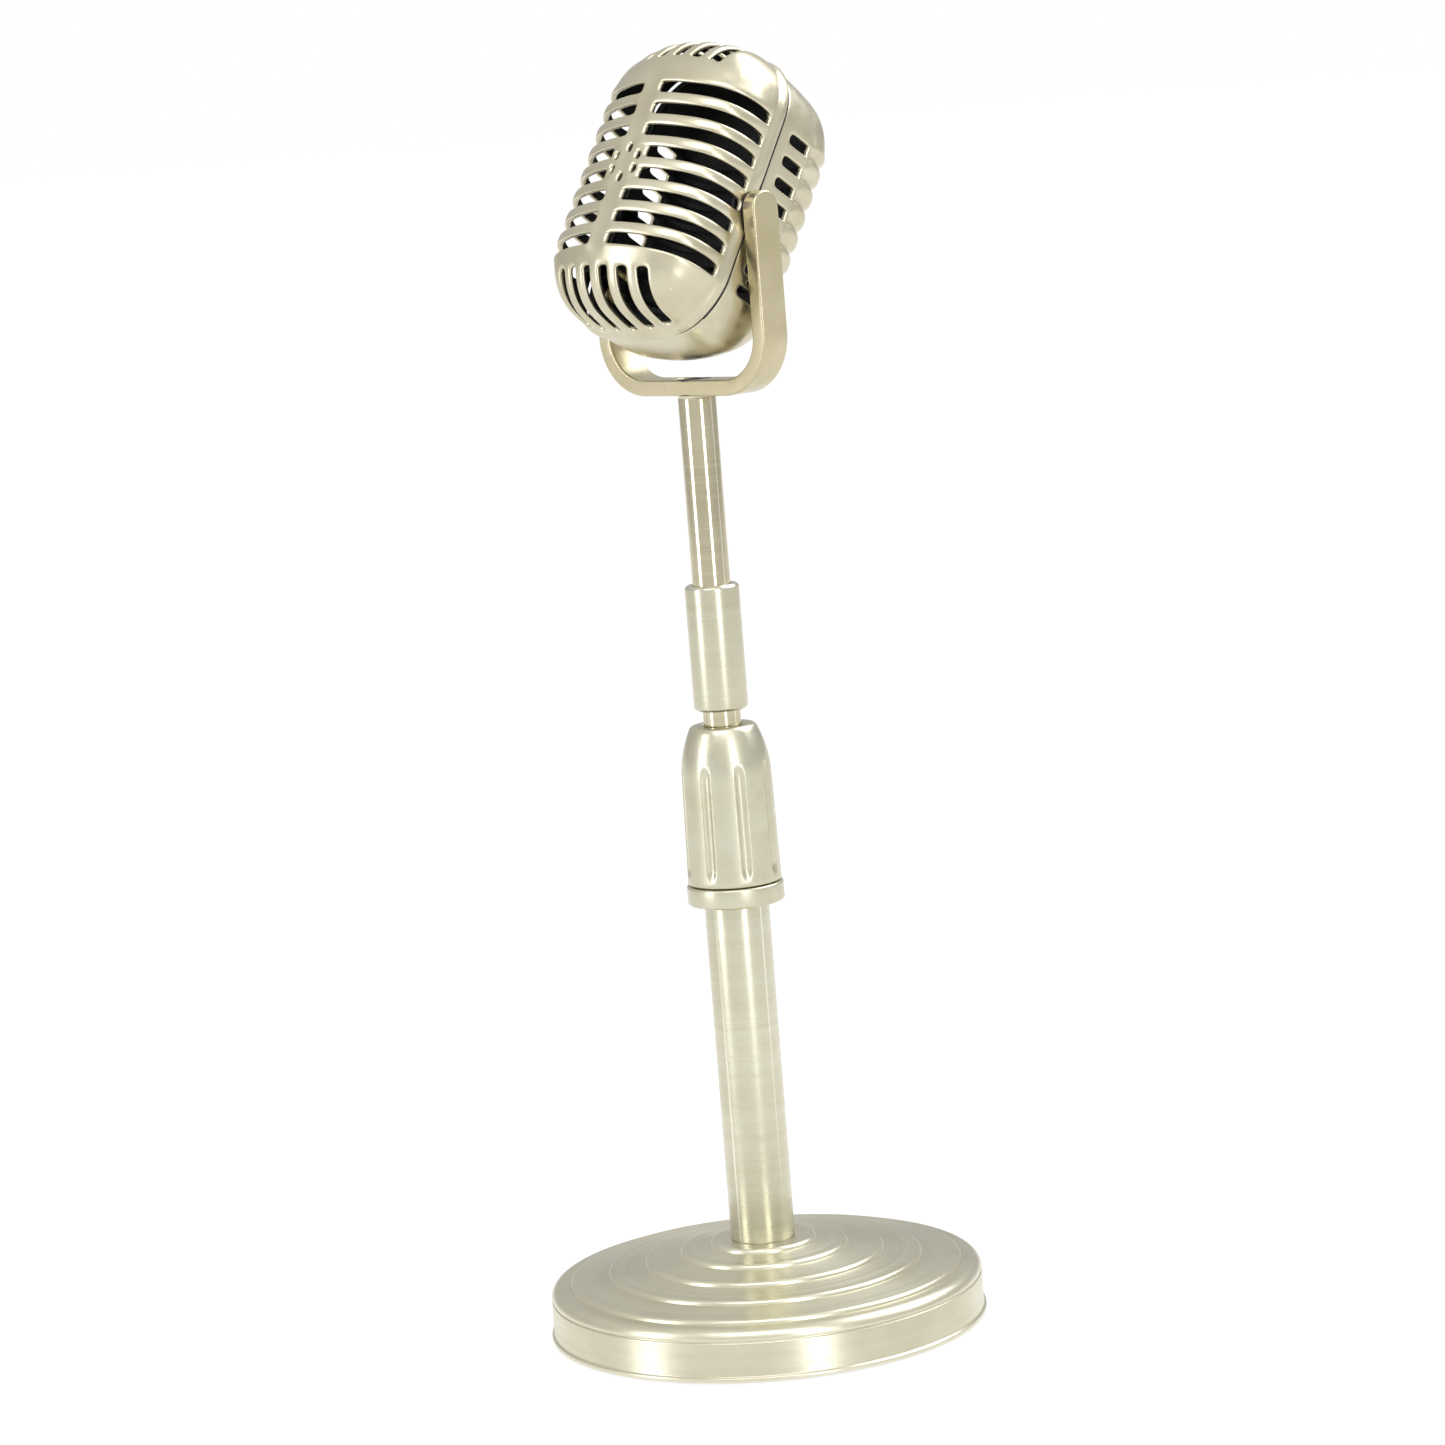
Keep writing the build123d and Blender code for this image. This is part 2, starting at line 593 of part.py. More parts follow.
def head_form(inset):
    """The head's rounded outer form, drawn smaller all round by inset."""
    half_width = HEAD_HALF_WIDTH - inset
    front = half_outline(
        half_width, HEAD_FRONT_DEPTH - inset, FRONT_SIDE_FLAT, FRONT_CORNER_RADIUS - inset, -1
    )
    rear = half_outline(
        half_width, HEAD_REAR_DEPTH - inset, REAR_SIDE_FLAT, REAR_CORNER_RADIUS - inset, 1
    )
    section = make_face(front + rear)
    top = HEAD_TOP - inset
    bottom = -HEAD_BOTTOM + inset
    column = extrude(Pos(0, 0, bottom - 10.0) * section, top - bottom + 20.0)
    crown = HEAD_CROWN_RADIUS - inset
    column &= Pos(0, 0, top - crown) * Sphere(crown)
    column &= Pos(0, 0, bottom + crown) * Sphere(crown)
    form = column.solid()
    rims = form.edges().filter_by(lambda e: abs(e.center().Z - ROW_MIDDLE) > ROW_PITCH * 4.5)
    return fillet(rims, HEAD_EDGE_RADIUS - inset)


def shell_of(inset, wall):
    """A hollow form between inset and inset + wall."""
    return head_form(inset) - head_form(inset + wall)


def row_heights():
    top = ROW_MIDDLE + (ROW_COUNT - 1) * ROW_PITCH / 2
    return [top - index * ROW_PITCH for index in range(ROW_COUNT)]


def slot_profile(start, end, width):
    """A round-ended slot outline along the local X axis, from start to end."""
    return Pos((start + end) / 2, 0) * SlotOverall(end - start, width)


def front_rows():
    """Cutters of the front rows: each wraps from the middle band round to the side."""
    cutters = []
    edge = HEAD_FRONT_DEPTH - FRONT_CORNER_RADIUS * DOME_CUT_TURN
    side = HEAD_HALF_WIDTH - FRONT_CORNER_RADIUS * (1 - FRONT_FACE_CUT_REACH)
    for index, height in enumerate(row_heights()):
        start = BADGE_HALF_WIDTH if index in BADGE_ROWS else BAND_HALF_WIDTH
        face_cut = extrude(
            Plane.XZ * Pos(0, height) * slot_profile(start, side, ROW_SLOT_HEIGHT),
            FRONT_SIDE_FLAT + HEAD_FRONT_DEPTH,
        )
        face_cut &= block(0, FAR, -FAR, -edge * FRONT_FACE_CUT_BACK, -FAR, FAR)
        side_cut = extrude(
            Plane.YZ * Pos(0, height)
            * slot_profile(-HEAD_FRONT_DEPTH + 1.0, -FRONT_SLOT_MARGIN, ROW_SLOT_HEIGHT),
            HEAD_HALF_WIDTH + CUT_OVERRUN,
        )
        side_from = HEAD_HALF_WIDTH - FRONT_CORNER_RADIUS * FRONT_SIDE_CUT_REACH
        side_cut &= block(side_from, FAR, -FAR, FAR, -FAR, FAR)
        cutters.append(face_cut + side_cut)
    return cutters


def badge_slots():
    """Six short upright slots set in a hexagon on the widened part of the band."""
    cutters = []
    outline = Rot(0, 0, 90) * SlotOverall(BADGE_SLOT_LENGTH, BADGE_SLOT_WIDTH)
    for index in range(6):
        angle = math.radians(90 + index * 60)
        x = BADGE_SLOT_RING * math.cos(angle)
        z = ROW_MIDDLE + BADGE_SLOT_RING * math.sin(angle)
        cutters.append(extrude(Plane.XZ * Pos(x, z) * outline, HEAD_FRONT_DEPTH + CUT_OVERRUN))
    return cutters


def dome_columns():
    """X places of the upright slots in the crown and the chin."""
    first = -(DOME_SLOTS - 1) * DOME_SLOT_PITCH / 2
    return [first + index * DOME_SLOT_PITCH for index in range(DOME_SLOTS)]


def dome_slots(start, direction):
    """Cutters of the upright slots that bend over the crown (+1) or the chin (-1)."""
    cutters = []
    reach = HEAD_TOP if direction > 0 else HEAD_BOTTOM
    half = DOME_SLOT_WIDTH / 2
    span = HEAD_FRONT_DEPTH + CUT_OVERRUN
    corner_y = HEAD_FRONT_DEPTH - HEAD_EDGE_RADIUS * DOME_CUT_TURN
    for x in dome_columns():
        outline = Rot(0, 0, 90) * slot_profile(start, reach + CUT_OVERRUN, DOME_SLOT_WIDTH)
        if direction < 0:
            outline = Rot(0, 0, 180) * outline
        front_cut = extrude(Plane.XZ * Pos(x, 0) * outline, span)
        front_cut &= block(-FAR, FAR, -FAR, -corner_y, -FAR, FAR)
        top_outline = Rot(0, 0, 90) * slot_profile(
            -span, -DOME_SLOT_MARGIN, DOME_SLOT_WIDTH
        )
        low = start + HEAD_EDGE_RADIUS * DOME_CUT_START
        top_cut = extrude(Pos(x, 0, low) * top_outline, FAR / 2)
        if direction < 0:
            top_cut = mirror(top_cut, about=Plane.XY)
        cut = front_cut + top_cut
        cutters.append(cut & block(x - half, x + half, -FAR, 0, -FAR, FAR))
    return cutters


def rear_rows():
    """Cutters of the rear rows: a short side slot, a rib, then a blind groove round the back."""
    cutters = []
    groove_floor = head_form(REAR_STEP + REAR_GROOVE_DEPTH)
    back_start = REAR_SLOT_TO + REAR_RIB_WIDTH
    edge = HEAD_REAR_DEPTH - REAR_CORNER_RADIUS * REAR_CUT_TURN
    for height in row_heights():
        short = extrude(
            Plane.YZ * Pos(0, height)
            * slot_profile(REAR_SLOT_FROM, REAR_SLOT_TO, ROW_SLOT_HEIGHT),
            HEAD_HALF_WIDTH + CUT_OVERRUN,
        )
        short &= block(HEAD_HALF_WIDTH / 2, FAR, -FAR, FAR, -FAR, FAR)
        side = extrude(
            Plane.YZ * Pos(0, height)
            * slot_profile(back_start, HEAD_REAR_DEPTH - 1.0, ROW_SLOT_HEIGHT),
            HEAD_HALF_WIDTH + CUT_OVERRUN,
        )
        side_from = HEAD_HALF_WIDTH - REAR_CORNER_RADIUS * REAR_SIDE_CUT_REACH
        side &= block(side_from, FAR, -FAR, FAR, -FAR, FAR)
        back = extrude(
            Plane.XZ * Pos(0, height)
            * slot_profile(
                REAR_BAND_HALF_WIDTH, HEAD_HALF_WIDTH - REAR_FACE_CUT_MARGIN, ROW_SLOT_HEIGHT
            ),
            -(HEAD_REAR_DEPTH + CUT_OVERRUN),
        )
        back &= block(0, FAR, edge * REAR_FACE_CUT_BACK, FAR, -FAR, FAR)
        cutters.append(short + (side + back - groove_floor))
    return cutters


def cut_all(solid, cutters):
    for cutter in cutters:
        solid -= cutter
    return solid


def lug():
    """Inner ear of the front shell that the case screw bites into, at +X."""
    inside = HEAD_HALF_WIDTH - HEAD_WALL
    outer = inside - REAR_STEP - GAP
    inner = outer - LUG_THICKNESS
    low = -CASE_SCREW_DROP - LUG_HALF_HEIGHT
    high = -CASE_SCREW_DROP + LUG_HALF_HEIGHT
    root = block(inner, inside + HEAD_WALL / 2, -FRONT_SIDE_FLAT + 2.0, -BUTT, low, high)
    ear = block(inner, outer, -BUTT, CASE_SCREW_BACK + LUG_HALF_HEIGHT, low, high)
    hole = crosswise(
        CASE_SCREW_RADIUS + SLIP, 0, FAR / 4, CASE_SCREW_BACK, -CASE_SCREW_DROP
    )
    return root + ear - hole


def tongue():
    """Lip of the front shell that hooks under the top of the rear shell."""
    ceiling = HEAD_TOP - HEAD_WALL - REAR_STEP
    sag = HEAD_CROWN_RADIUS - math.sqrt(
        HEAD_CROWN_RADIUS ** 2 - TONGUE_HALF_WIDTH ** 2 - TONGUE_REACH ** 2
    )
    high = ceiling - sag - GAP
    low = high - TONGUE_THICKNESS
    width = TONGUE_HALF_WIDTH
    root = block(-width, width, -TONGUE_REACH, -BUTT, low, HEAD_TOP - HEAD_WALL / 2)
    lip = block(-width, width, -BUTT, TONGUE_REACH, low, high)
    return root + lip


def bush_opening():
    """Round opening at the seam that both shells share for the pivot bushes."""
    return crosswise(PIVOT_BUSH_RADIUS + SLIP, -FAR, FAR)


def front_shell():
    """Front half of the head with its rows, band, badge and dome slots."""
    shell = shell_of(0.0, HEAD_WALL) & block(-FAR, FAR, -FAR, -BUTT / 2, -FAR, FAR)
    for cutter in front_rows():
        shell -= cutter
        shell -= mirror(cutter, about=Plane.YZ)
    shell = cut_all(shell, badge_slots())
    shell = cut_all(shell, dome_slots(CROWN_SLOT_START, 1))
    shell = cut_all(shell, dome_slots(CHIN_SLOT_START, -1))
    ears = lug()
    shell += ears
    shell += mirror(ears, about=Plane.YZ)
    shell += tongue()
    return shell - bush_opening()


def rear_shell():
    """Rear half of the head; slightly smaller, so the front shell's rim shows."""
    shell = shell_of(REAR_STEP, HEAD_WALL) & block(-FAR, FAR, BUTT / 2, FAR, -FAR, FAR)
    for cutter in rear_rows():
        shell -= cutter
        shell -= mirror(cutter, about=Plane.YZ)
    shell -= crosswise(
        CASE_SCREW_RADIUS + SLIP, -FAR, FAR, CASE_SCREW_BACK, -CASE_SCREW_DROP
    )
    return shell - bush_opening()


def case_screws():
    """Two headless screws that lock the shells together, sunk below the surface."""
    start = HEAD_HALF_WIDTH - REAR_STEP - CASE_SCREW_SUNK
    end = start - CASE_SCREW_LENGTH
    screw = crosswise(CASE_SCREW_RADIUS, end, start, CASE_SCREW_BACK, -CASE_SCREW_DROP)
    slot = block(
        start - 1.0, start + 1.0,
        CASE_SCREW_BACK - 0.2, CASE_SCREW_BACK + 0.2,
        -CASE_SCREW_DROP - 2.0, -CASE_SCREW_DROP + 2.0,
    )
    return both_sides(screw - slot)


# ---------------------------------------------------------------- pivots
BUSH_FACE = HEAD_HALF_WIDTH - HEAD_WALL - REAR_STEP - BUTT
BUSH_INNER = BUSH_FACE - PIVOT_BUSH_FLANGE_THICKNESS
SPRING_INNER = BUSH_INNER - PIVOT_SPRING_THICKNESS


def pivot_bushes():
    """Flanged bushes clamped between the two shells."""
    bush = crosswise(PIVOT_BUSH_RADIUS, BUSH_FACE, HEAD_HALF_WIDTH)
    bush += crosswise(PIVOT_BUSH_FLANGE_RADIUS, BUSH_INNER, BUSH_FACE)
    bush -= crosswise(PIVOT_SCREW_RADIUS + SLIP, BUSH_INNER - 1.0, HEAD_HALF_WIDTH + 1.0)
    return both_sides(bush)


def pivot_washers():
    """Friction washers in the narrow space between the head and the yoke's arms."""
    washer = crosswise(PIVOT_WASHER_RADIUS, HEAD_HALF_WIDTH + BUTT, YOKE_INNER)
    washer -= crosswise(PIVOT_SCREW_RADIUS + SLIP, HEAD_HALF_WIDTH, YOKE_INNER + 1.0)
    return both_sides(washer)


def pivot_springs():
    """Spring washers under the heads of the pivot screws."""
    ring = crosswise(PIVOT_SCREW_HEAD_RADIUS + 0.8, SPRING_INNER, BUSH_INNER - 0.05)
    ring -= crosswise(PIVOT_SCREW_RADIUS + SLIP, SPRING_INNER - 1.0, BUSH_INNER + 1.0)
    return both_sides(ring)


def pivot_screws():
    """Screws from inside the head into the blind holes of the yoke's arms."""
    tip = YOKE_INNER + PIVOT_HOLE_DEPTH - 0.3
    head_end = SPRING_INNER - PIVOT_SCREW_HEAD_HEIGHT
    screw = crosswise(PIVOT_SCREW_RADIUS, SPRING_INNER, tip)
    screw += crosswise(PIVOT_SCREW_HEAD_RADIUS, head_end, SPRING_INNER)
    socket = Pos(head_end, 0, 0) * Rot(0, 90, 0) * RegularPolygon(1.25, 6, major_radius=False)
    screw -= extrude(socket, 1.6)
    return both_sides(screw)


# ---------------------------------------------------------------- build and write
AT_PIVOT = Pos(0, 0, PIVOT_HEIGHT)
TILTED = AT_PIVOT * Rot(-HEAD_TILT, 0, 0)

NODES = {
    "base_shell": base_shell(),
    "base_weight": base_weight(),
    "base_pad": base_pad(),
    "base_washer": base_washer(),
    "base_nut": base_nut(),
    "lower_tube": lower_tube(),
    "tube_plug": tube_plug(),
    "clutch_body": clutch_body(),
    "clutch_collet": clutch_collet(),
    "clutch_grip": clutch_grip(),
    "mast_rod": mast_rod(),
    "rod_bush": rod_bush(),
    "rod_sleeve": rod_sleeve(),
    "rod_insert": rod_insert(),
    "swivel_washer": swivel_washer(),
    "yoke_screw": yoke_screw(),
    "yoke": yoke(),
    "pivot_washers": AT_PIVOT * pivot_washers(),
    "pivot_springs": AT_PIVOT * pivot_springs(),
    "pivot_screws": AT_PIVOT * pivot_screws(),
    "pivot_bushes": TILTED * pivot_bushes(),
    "front_shell": TILTED * front_shell(),
    "rear_shell": TILTED * rear_shell(),
    "case_screws": TILTED * case_screws(),
}

os.makedirs("parts", exist_ok=True)
for node_name, node_shape in NODES.items():
    save(node_shape, node_name)
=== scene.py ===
import math
from collections import namedtuple

import bmesh
import bpy
from mathutils import Matrix, Vector


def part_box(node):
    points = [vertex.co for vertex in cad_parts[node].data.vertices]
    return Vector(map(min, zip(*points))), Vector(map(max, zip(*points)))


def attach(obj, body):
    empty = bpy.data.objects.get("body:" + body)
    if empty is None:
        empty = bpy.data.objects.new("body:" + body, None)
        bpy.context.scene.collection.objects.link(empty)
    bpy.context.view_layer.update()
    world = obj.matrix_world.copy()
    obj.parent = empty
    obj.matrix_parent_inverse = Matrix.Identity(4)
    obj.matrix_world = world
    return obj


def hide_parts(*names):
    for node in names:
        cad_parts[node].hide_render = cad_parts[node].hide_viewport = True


bl_info = {
    "name": "Retro desk microphone",
    "version": (1, 0, 0),
    "blender": (4, 5, 0),
    "location": "3D View > Sidebar > Microphone",
    "description": "Builds a plated slotted microphone prop on a telescopic desk stand",
    "category": "Object",
}

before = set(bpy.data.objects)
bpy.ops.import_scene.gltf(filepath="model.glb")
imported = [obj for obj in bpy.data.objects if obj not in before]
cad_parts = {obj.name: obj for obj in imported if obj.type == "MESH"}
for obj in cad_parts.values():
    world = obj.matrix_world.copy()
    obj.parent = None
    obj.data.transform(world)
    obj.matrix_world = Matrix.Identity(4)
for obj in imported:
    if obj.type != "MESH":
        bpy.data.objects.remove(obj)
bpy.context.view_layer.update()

MM = 0.001
FULL_TURN = 2 * math.pi
QUARTER_TURN = 0.25
UP = Vector((0, 0, 1))


# ---------------------------------------------------------------- places taken from the frame
def middle(node):
    low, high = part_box(node)
    return (low + high) / 2


def height_range(node):
    """Bottom and top of a CAD node, in millimetres."""
    low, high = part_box(node)
    return low.z / MM, high.z / MM


def reach(node):
    """Outer radius of a round CAD node that stands on the Z axis, in millimetres."""
    low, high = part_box(node)
    return (high.x - low.x) / 2 / MM


PIVOT = middle("pivot_washers")


# ---------------------------------------------------------------- settings a user would change
class MicrophoneHeadSettings(bpy.types.PropertyGroup):
    tilt: bpy.props.FloatProperty(
        name="Tilt", description="How far the head is tipped back",
        default=math.radians(33), subtype="ANGLE", unit="ROTATION",
    )
    wall: bpy.props.FloatProperty(
        name="Wall", description="Thickness of the head's shells",
        default=2.0 * MM, subtype="DISTANCE", unit="LENGTH",
    )
    bar_crown: bpy.props.FloatProperty(
        name="Bar crown", description="How far the bars between the slots bulge",
        default=0.5 * MM, subtype="DISTANCE", unit="LENGTH",
    )
    ridge: bpy.props.FloatProperty(
        name="Band ridge", description="Height of the ridges along the middle band",
        default=0.45 * MM, subtype="DISTANCE", unit="LENGTH",
    )


class MicrophoneStandSettings(bpy.types.PropertyGroup):
    turn_steps: bpy.props.IntProperty(
        name="Turning steps", description="Facets round each turned piece",
        default=128, min=32, max=256,
    )
    softening: bpy.props.FloatProperty(
        name="Edge softening", description="Width of the broken edges on turned pieces",
        default=0.28 * MM, subtype="DISTANCE", unit="LENGTH",
    )
    groove_depth: bpy.props.FloatProperty(
        name="Groove depth", description="Depth of the finger grooves of the clutch nut",
        default=0.9 * MM, subtype="DISTANCE", unit="LENGTH",
    )


class MicrophoneFinishSettings(bpy.types.PropertyGroup):
    champagne: bpy.props.StringProperty(
        name="Champagne", description="Colour of the satin champagne plating, as sRGB hex",
        default="D2CCB4",
    )
    champagne_shade: bpy.props.StringProperty(
        name="Champagne shade", description="Deeper tone of the plating, as sRGB hex",
        default="C5BDA2",
    )
    pale: bpy.props.StringProperty(
        name="Pale plating", description="Colour of the stand's paler plating, as sRGB hex",
        default="CFCCB7",
    )
    pale_shade: bpy.props.StringProperty(
        name="Pale shade", description="Deeper tone of the paler plating, as sRGB hex",
        default="C1BCA2",
    )


class MicrophoneStageSettings(bpy.types.PropertyGroup):
    floor_radius: bpy.props.FloatProperty(
        name="Floor radius", description="Size of the round floor sheet",
        default=30.0, subtype="DISTANCE", unit="LENGTH",
    )
    lens: bpy.props.FloatProperty(
        name="Lens", description="Focal length of the camera in millimetres",
        default=111.75, subtype="DISTANCE_CAMERA",
    )


# ---------------------------------------------------------------- mesh helpers
def close_to(a, b):
    return abs(a - b) < 1e-3


def new_piece(bm, name, materials):
    """Turns a bmesh drawn in millimetres into an object in metres at the origin."""
    bmesh.ops.scale(bm, vec=(MM, MM, MM), verts=bm.verts)
    mesh = bpy.data.meshes.new(name)
    bm.to_mesh(mesh)
    bm.free()
    for material in materials:
        mesh.materials.append(material)
    piece = bpy.data.objects.new(name, mesh)
    bpy.context.scene.collection.objects.link(piece)
    return piece


def smooth(piece, angle=35):
    """Shades the faces smoothly and keeps edges sharper than the angle crisp."""
    piece.data.shade_smooth()
    piece.data.set_sharp_from_angle(angle=math.radians(angle))


def stand_for(piece, body, nodes):
    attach(piece, body)
    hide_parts(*nodes)


def soften(bm, width, angle=25, segments=3):
    """Breaks every edge that is sharper than the angle."""
    sharp = [
        e for e in bm.edges
        if len(e.link_faces) == 2 and e.calc_face_angle() > math.radians(angle)
    ]
    if sharp:
        bmesh.ops.bevel(
            bm, geom=sharp, offset=width, offset_type="OFFSET", segments=segments,
            profile=0.5, affect="EDGES", material=-1, clamp_overlap=True,
        )


def lathe(profile, steps, softening):
    """Spins a closed outline of (radius, height) points about the Z axis."""
    bm = bmesh.new()
    points = [bm.verts.new((r, 0, z)) for r, z in profile]
    edges = [bm.edges.new(pair) for pair in zip(points, points[1:] + points[:1])]
    bmesh.ops.spin(
        bm, geom=points + edges, cent=(0, 0, 0), axis=UP, angle=FULL_TURN,
        steps=steps, use_merge=True, use_duplicate=False,
    )
    bmesh.ops.remove_doubles(bm, verts=bm.verts, dist=1e-4)
    bmesh.ops.recalc_face_normals(bm, faces=bm.faces)
    if softening > 0:
        soften(bm, softening)
    return bm


def arc(centre, radius, start, end, segments):
    """Points of an arc in the outline's plane, from start to end degrees."""
    points = []
    for index in range(segments + 1):
        angle = math.radians(start + (end - start) * index / segments)
        points.append(
            (centre[0] + radius * math.cos(angle), centre[1] + radius * math.sin(angle))
        )
    return points


def frozen(piece):
    """Replaces a piece's mesh by the one its modifiers make."""
    bpy.context.view_layer.update()
    depsgraph = bpy.context.evaluated_depsgraph_get()
    mesh = bpy.data.meshes.new_from_object(piece.evaluated_get(depsgraph))
    old = piece.data
    piece.modifiers.clear()
    piece.data = mesh
    bpy.data.meshes.remove(old)
    mesh.name = piece.name
    return piece


# ---------------------------------------------------------------- material helpers
def linear(code):
    """An sRGB hex colour as linear RGBA."""
    values = [int(code[i:i + 2], 16) / 255 for i in (0, 2, 4)]
    curve = [v / 12.92 if v <= 0.04045 else ((v + 0.055) / 1.055) ** 2.4 for v in values]
    return (*curve, 1.0)


def per_metre(millimetres):
    """The texture scale whose features are this large."""
    return 1 / (millimetres * MM)


def add_node(tree, kind, inputs=None, **settings):
    """Adds a node. An input given as a socket is linked, and any other value is set."""
    made = tree.nodes.new(kind)
    for key, value in settings.items():
        setattr(made, key, value)
    for key, value in (inputs or {}).items():
        if isinstance(value, bpy.types.NodeSocket):
            tree.links.new(value, made.inputs[key])
        else:
            made.inputs[key].default_value = value
    return made


def new_material(name):
    material = bpy.data.materials.new(name)
    material.use_nodes = True
    tree = material.node_tree
    tree.nodes.clear()
    shader = add_node(tree, "ShaderNodeBsdfPrincipled")
    add_node(tree, "ShaderNodeOutputMaterial", {"Surface": shader.outputs[0]})
    return material, tree, shader


def noise(tree, vector, size_mm, detail=3.0, roughness=0.55):
    return add_node(
        tree, "ShaderNodeTexNoise",
        {"Vector": vector, "Scale": per_metre(size_mm), "Detail": detail, "Roughness": roughness},
    ).outputs["Fac"]


def ranged(tree, value, low, high, to_low, to_high):
    return add_node(
        tree, "ShaderNodeMapRange",
        {"Value": value, "From Min": low, "From Max": high, "To Min": to_low, "To Max": to_high},
    ).outputs[0]


def blend_colours(tree, factor, first, second):
    """Mixes two colours, each a colour or a colour socket."""
    return add_node(
        tree, "ShaderNodeMix", {0: factor, 6: first, 7: second}, data_type="RGBA",
    ).outputs[2]


def bumped(tree, height, strength, depth_mm, normal=None):
    inputs = {"Height": height, "Strength": strength, "Distance": depth_mm * MM}
    if normal is not None:
        inputs["Normal"] = normal
    return add_node(tree, "ShaderNodeBump", inputs).outputs[0]


def worn_and_highlit_edges(tree, colour, bright, low=0.52, high=0.6):
    """Rubs the plating brighter where the surface turns outwards sharply: partly real wear, partly
    a painted highlight on the edges.
    """
    geometry = add_node(tree, "ShaderNodeNewGeometry")
    factor = ranged(tree, geometry.outputs["Pointiness"], low, high, 0.0, 1.0)
    return blend_colours(tree, factor, colour, bright)


def ring_coordinates(tree):
    """Radius and height about the Z axis as a vector, for marks left by turning."""
    place = add_node(tree, "ShaderNodeTexCoord").outputs["Object"]
    parts = add_node(tree, "ShaderNodeSeparateXYZ", {0: place})
    flat = add_node(
        tree, "ShaderNodeCombineXYZ", {"X": parts.outputs["X"], "Y": parts.outputs["Y"]}
    )
    radius = add_node(
        tree, "ShaderNodeVectorMath", {0: flat.outputs[0]}, operation="LENGTH"
    ).outputs["Value"]
    return add_node(
        tree, "ShaderNodeCombineXYZ", {"X": radius, "Y": parts.outputs["Z"]}
    ).outputs[0]


# ---------------------------------------------------------------- materials
def satin_plating(name, tone, shade, roughness, grain_mm=0.35, edge_wear_and_highlight=True):
    """Champagne nickel plating over moulded or cast parts, left satin.

    The eye sees a soft warm sheen, slow cloudy shifts of tone, a very fine blasted
    grain and edges rubbed a little brighter, partly wear and partly a painted highlight.
    """
    material, tree, shader = new_material(name)
    place = add_node(tree, "ShaderNodeTexCoord").outputs["Object"]
    cloud = ranged(tree, noise(tree, place, 16.0, 3.0), 0.3, 0.7, 0.0, 1.0)
    colour = blend_colours(tree, cloud, linear(tone), linear(shade))
    # Specks of dust in the lacquer, drawn 0.5 mm across so that they show.
    specks = ranged(tree, noise(tree, place, 0.5, 2.0), 0.66, 0.74, 0.0, 0.15)
    colour = blend_colours(tree, specks, colour, linear("A3946C"))
    # Edges painted brighter: partly rubbed wear, partly a painted highlight.
    if edge_wear_and_highlight:
        colour = worn_and_highlit_edges(tree, colour, linear("F4EDD6"), 0.56, 0.72)
    patches = noise(tree, place, 4.0, 4.0)
    rough = ranged(tree, patches, 0.3, 0.7, roughness - 0.05, roughness + 0.07)
    # The blasted grain is finer than a tenth of a millimetre; it is drawn coarser to show.
    normal = bumped(tree, noise(tree, place, grain_mm, 2.0), 0.22, 0.012)
    normal = bumped(tree, noise(tree, place, 7.0, 2.0), 0.15, 0.05, normal)
    for key, value in (("Base Color", colour), ("Roughness", rough), ("Normal", normal)):
        tree.links.new(value, shader.inputs[key])
    shader.inputs["Metallic"].default_value = 1.0
    return material


def turned_plating(name, tone, shade, roughness, ring_mm=0.5, strength=0.3, along=0.6):
    """Nickel plating over turned and spun metal.

    The eye sees fine rings left by the tool, which pull the highlights into streaks,
    faint tone bands and a brighter line on each edge, partly wear and partly a painted highlight.
    """
    material, tree, shader = new_material(name)
    place = add_node(tree, "ShaderNodeTexCoord").outputs["Object"]
    rings = ring_coordinates(tree)
    bands = noise(tree, rings, 3.0, 4.0)
    cloud = noise(tree, place, 22.0, 2.0)
    mixed = add_node(tree, "ShaderNodeMath", {0: bands, 1: cloud}, operation="ADD").outputs[0]
    factor = ranged(tree, mixed, 0.7, 1.3, 0.0, 1.0)
    colour = blend_colours(tree, factor, linear(tone), linear(shade))
    # A brighter line on each edge: partly wear, partly a painted highlight.
    colour = worn_and_highlit_edges(tree, colour, linear("F6F2E0"))
    rough = ranged(tree, noise(tree, rings, 1.2, 3.0), 0.3, 0.7, roughness - 0.06, roughness + 0.06)
    # Tool marks are about 0.1 mm apart; they are drawn wider so that they show.
    normal = bumped(tree, noise(tree, rings, ring_mm, 4.0, 0.7), strength, 0.02)
    grain = bumped(tree, noise(tree, place, 0.4, 2.0), 0.08, 0.01, normal)
    tangent = add_node(tree, "ShaderNodeTangent", direction_type="RADIAL", axis="Z").outputs[0]
    for key, value in (
        ("Base Color", colour), ("Roughness", rough), ("Normal", grain), ("Tangent", tangent),
    ):
        tree.links.new(value, shader.inputs[key])
    shader.inputs["Metallic"].default_value = 1.0
    shader.inputs["Anisotropic"].default_value = along
    shader.inputs["Anisotropic Rotation"].default_value = QUARTER_TURN
    return material


def plain_surface(name, tone, shade, roughness, grain_mm, depth_mm, metallic=0.0, patch_mm=6.0):
    """A plain material with a grain of its own: painted, moulded, cast, pressed or foamed."""
    material, tree, shader = new_material(name)
    place = add_node(tree, "ShaderNodeTexCoord").outputs["Object"]
    patches = ranged(tree, noise(tree, place, patch_mm, 3.0), 0.35, 0.65, 0.0, 1.0)
    grain = noise(tree, place, grain_mm, 3.0)
    colour = blend_colours(tree, patches, linear(tone), linear(shade))
    rough = ranged(tree, grain, 0.3, 0.7, roughness - 0.08, roughness + 0.08)
    normal = bumped(tree, grain, 0.5, depth_mm)
    for key, value in (("Base Color", colour), ("Roughness", rough), ("Normal", normal)):
        tree.links.new(value, shader.inputs[key])
    shader.inputs["Metallic"].default_value = metallic
    return material


MATERIALS = {}


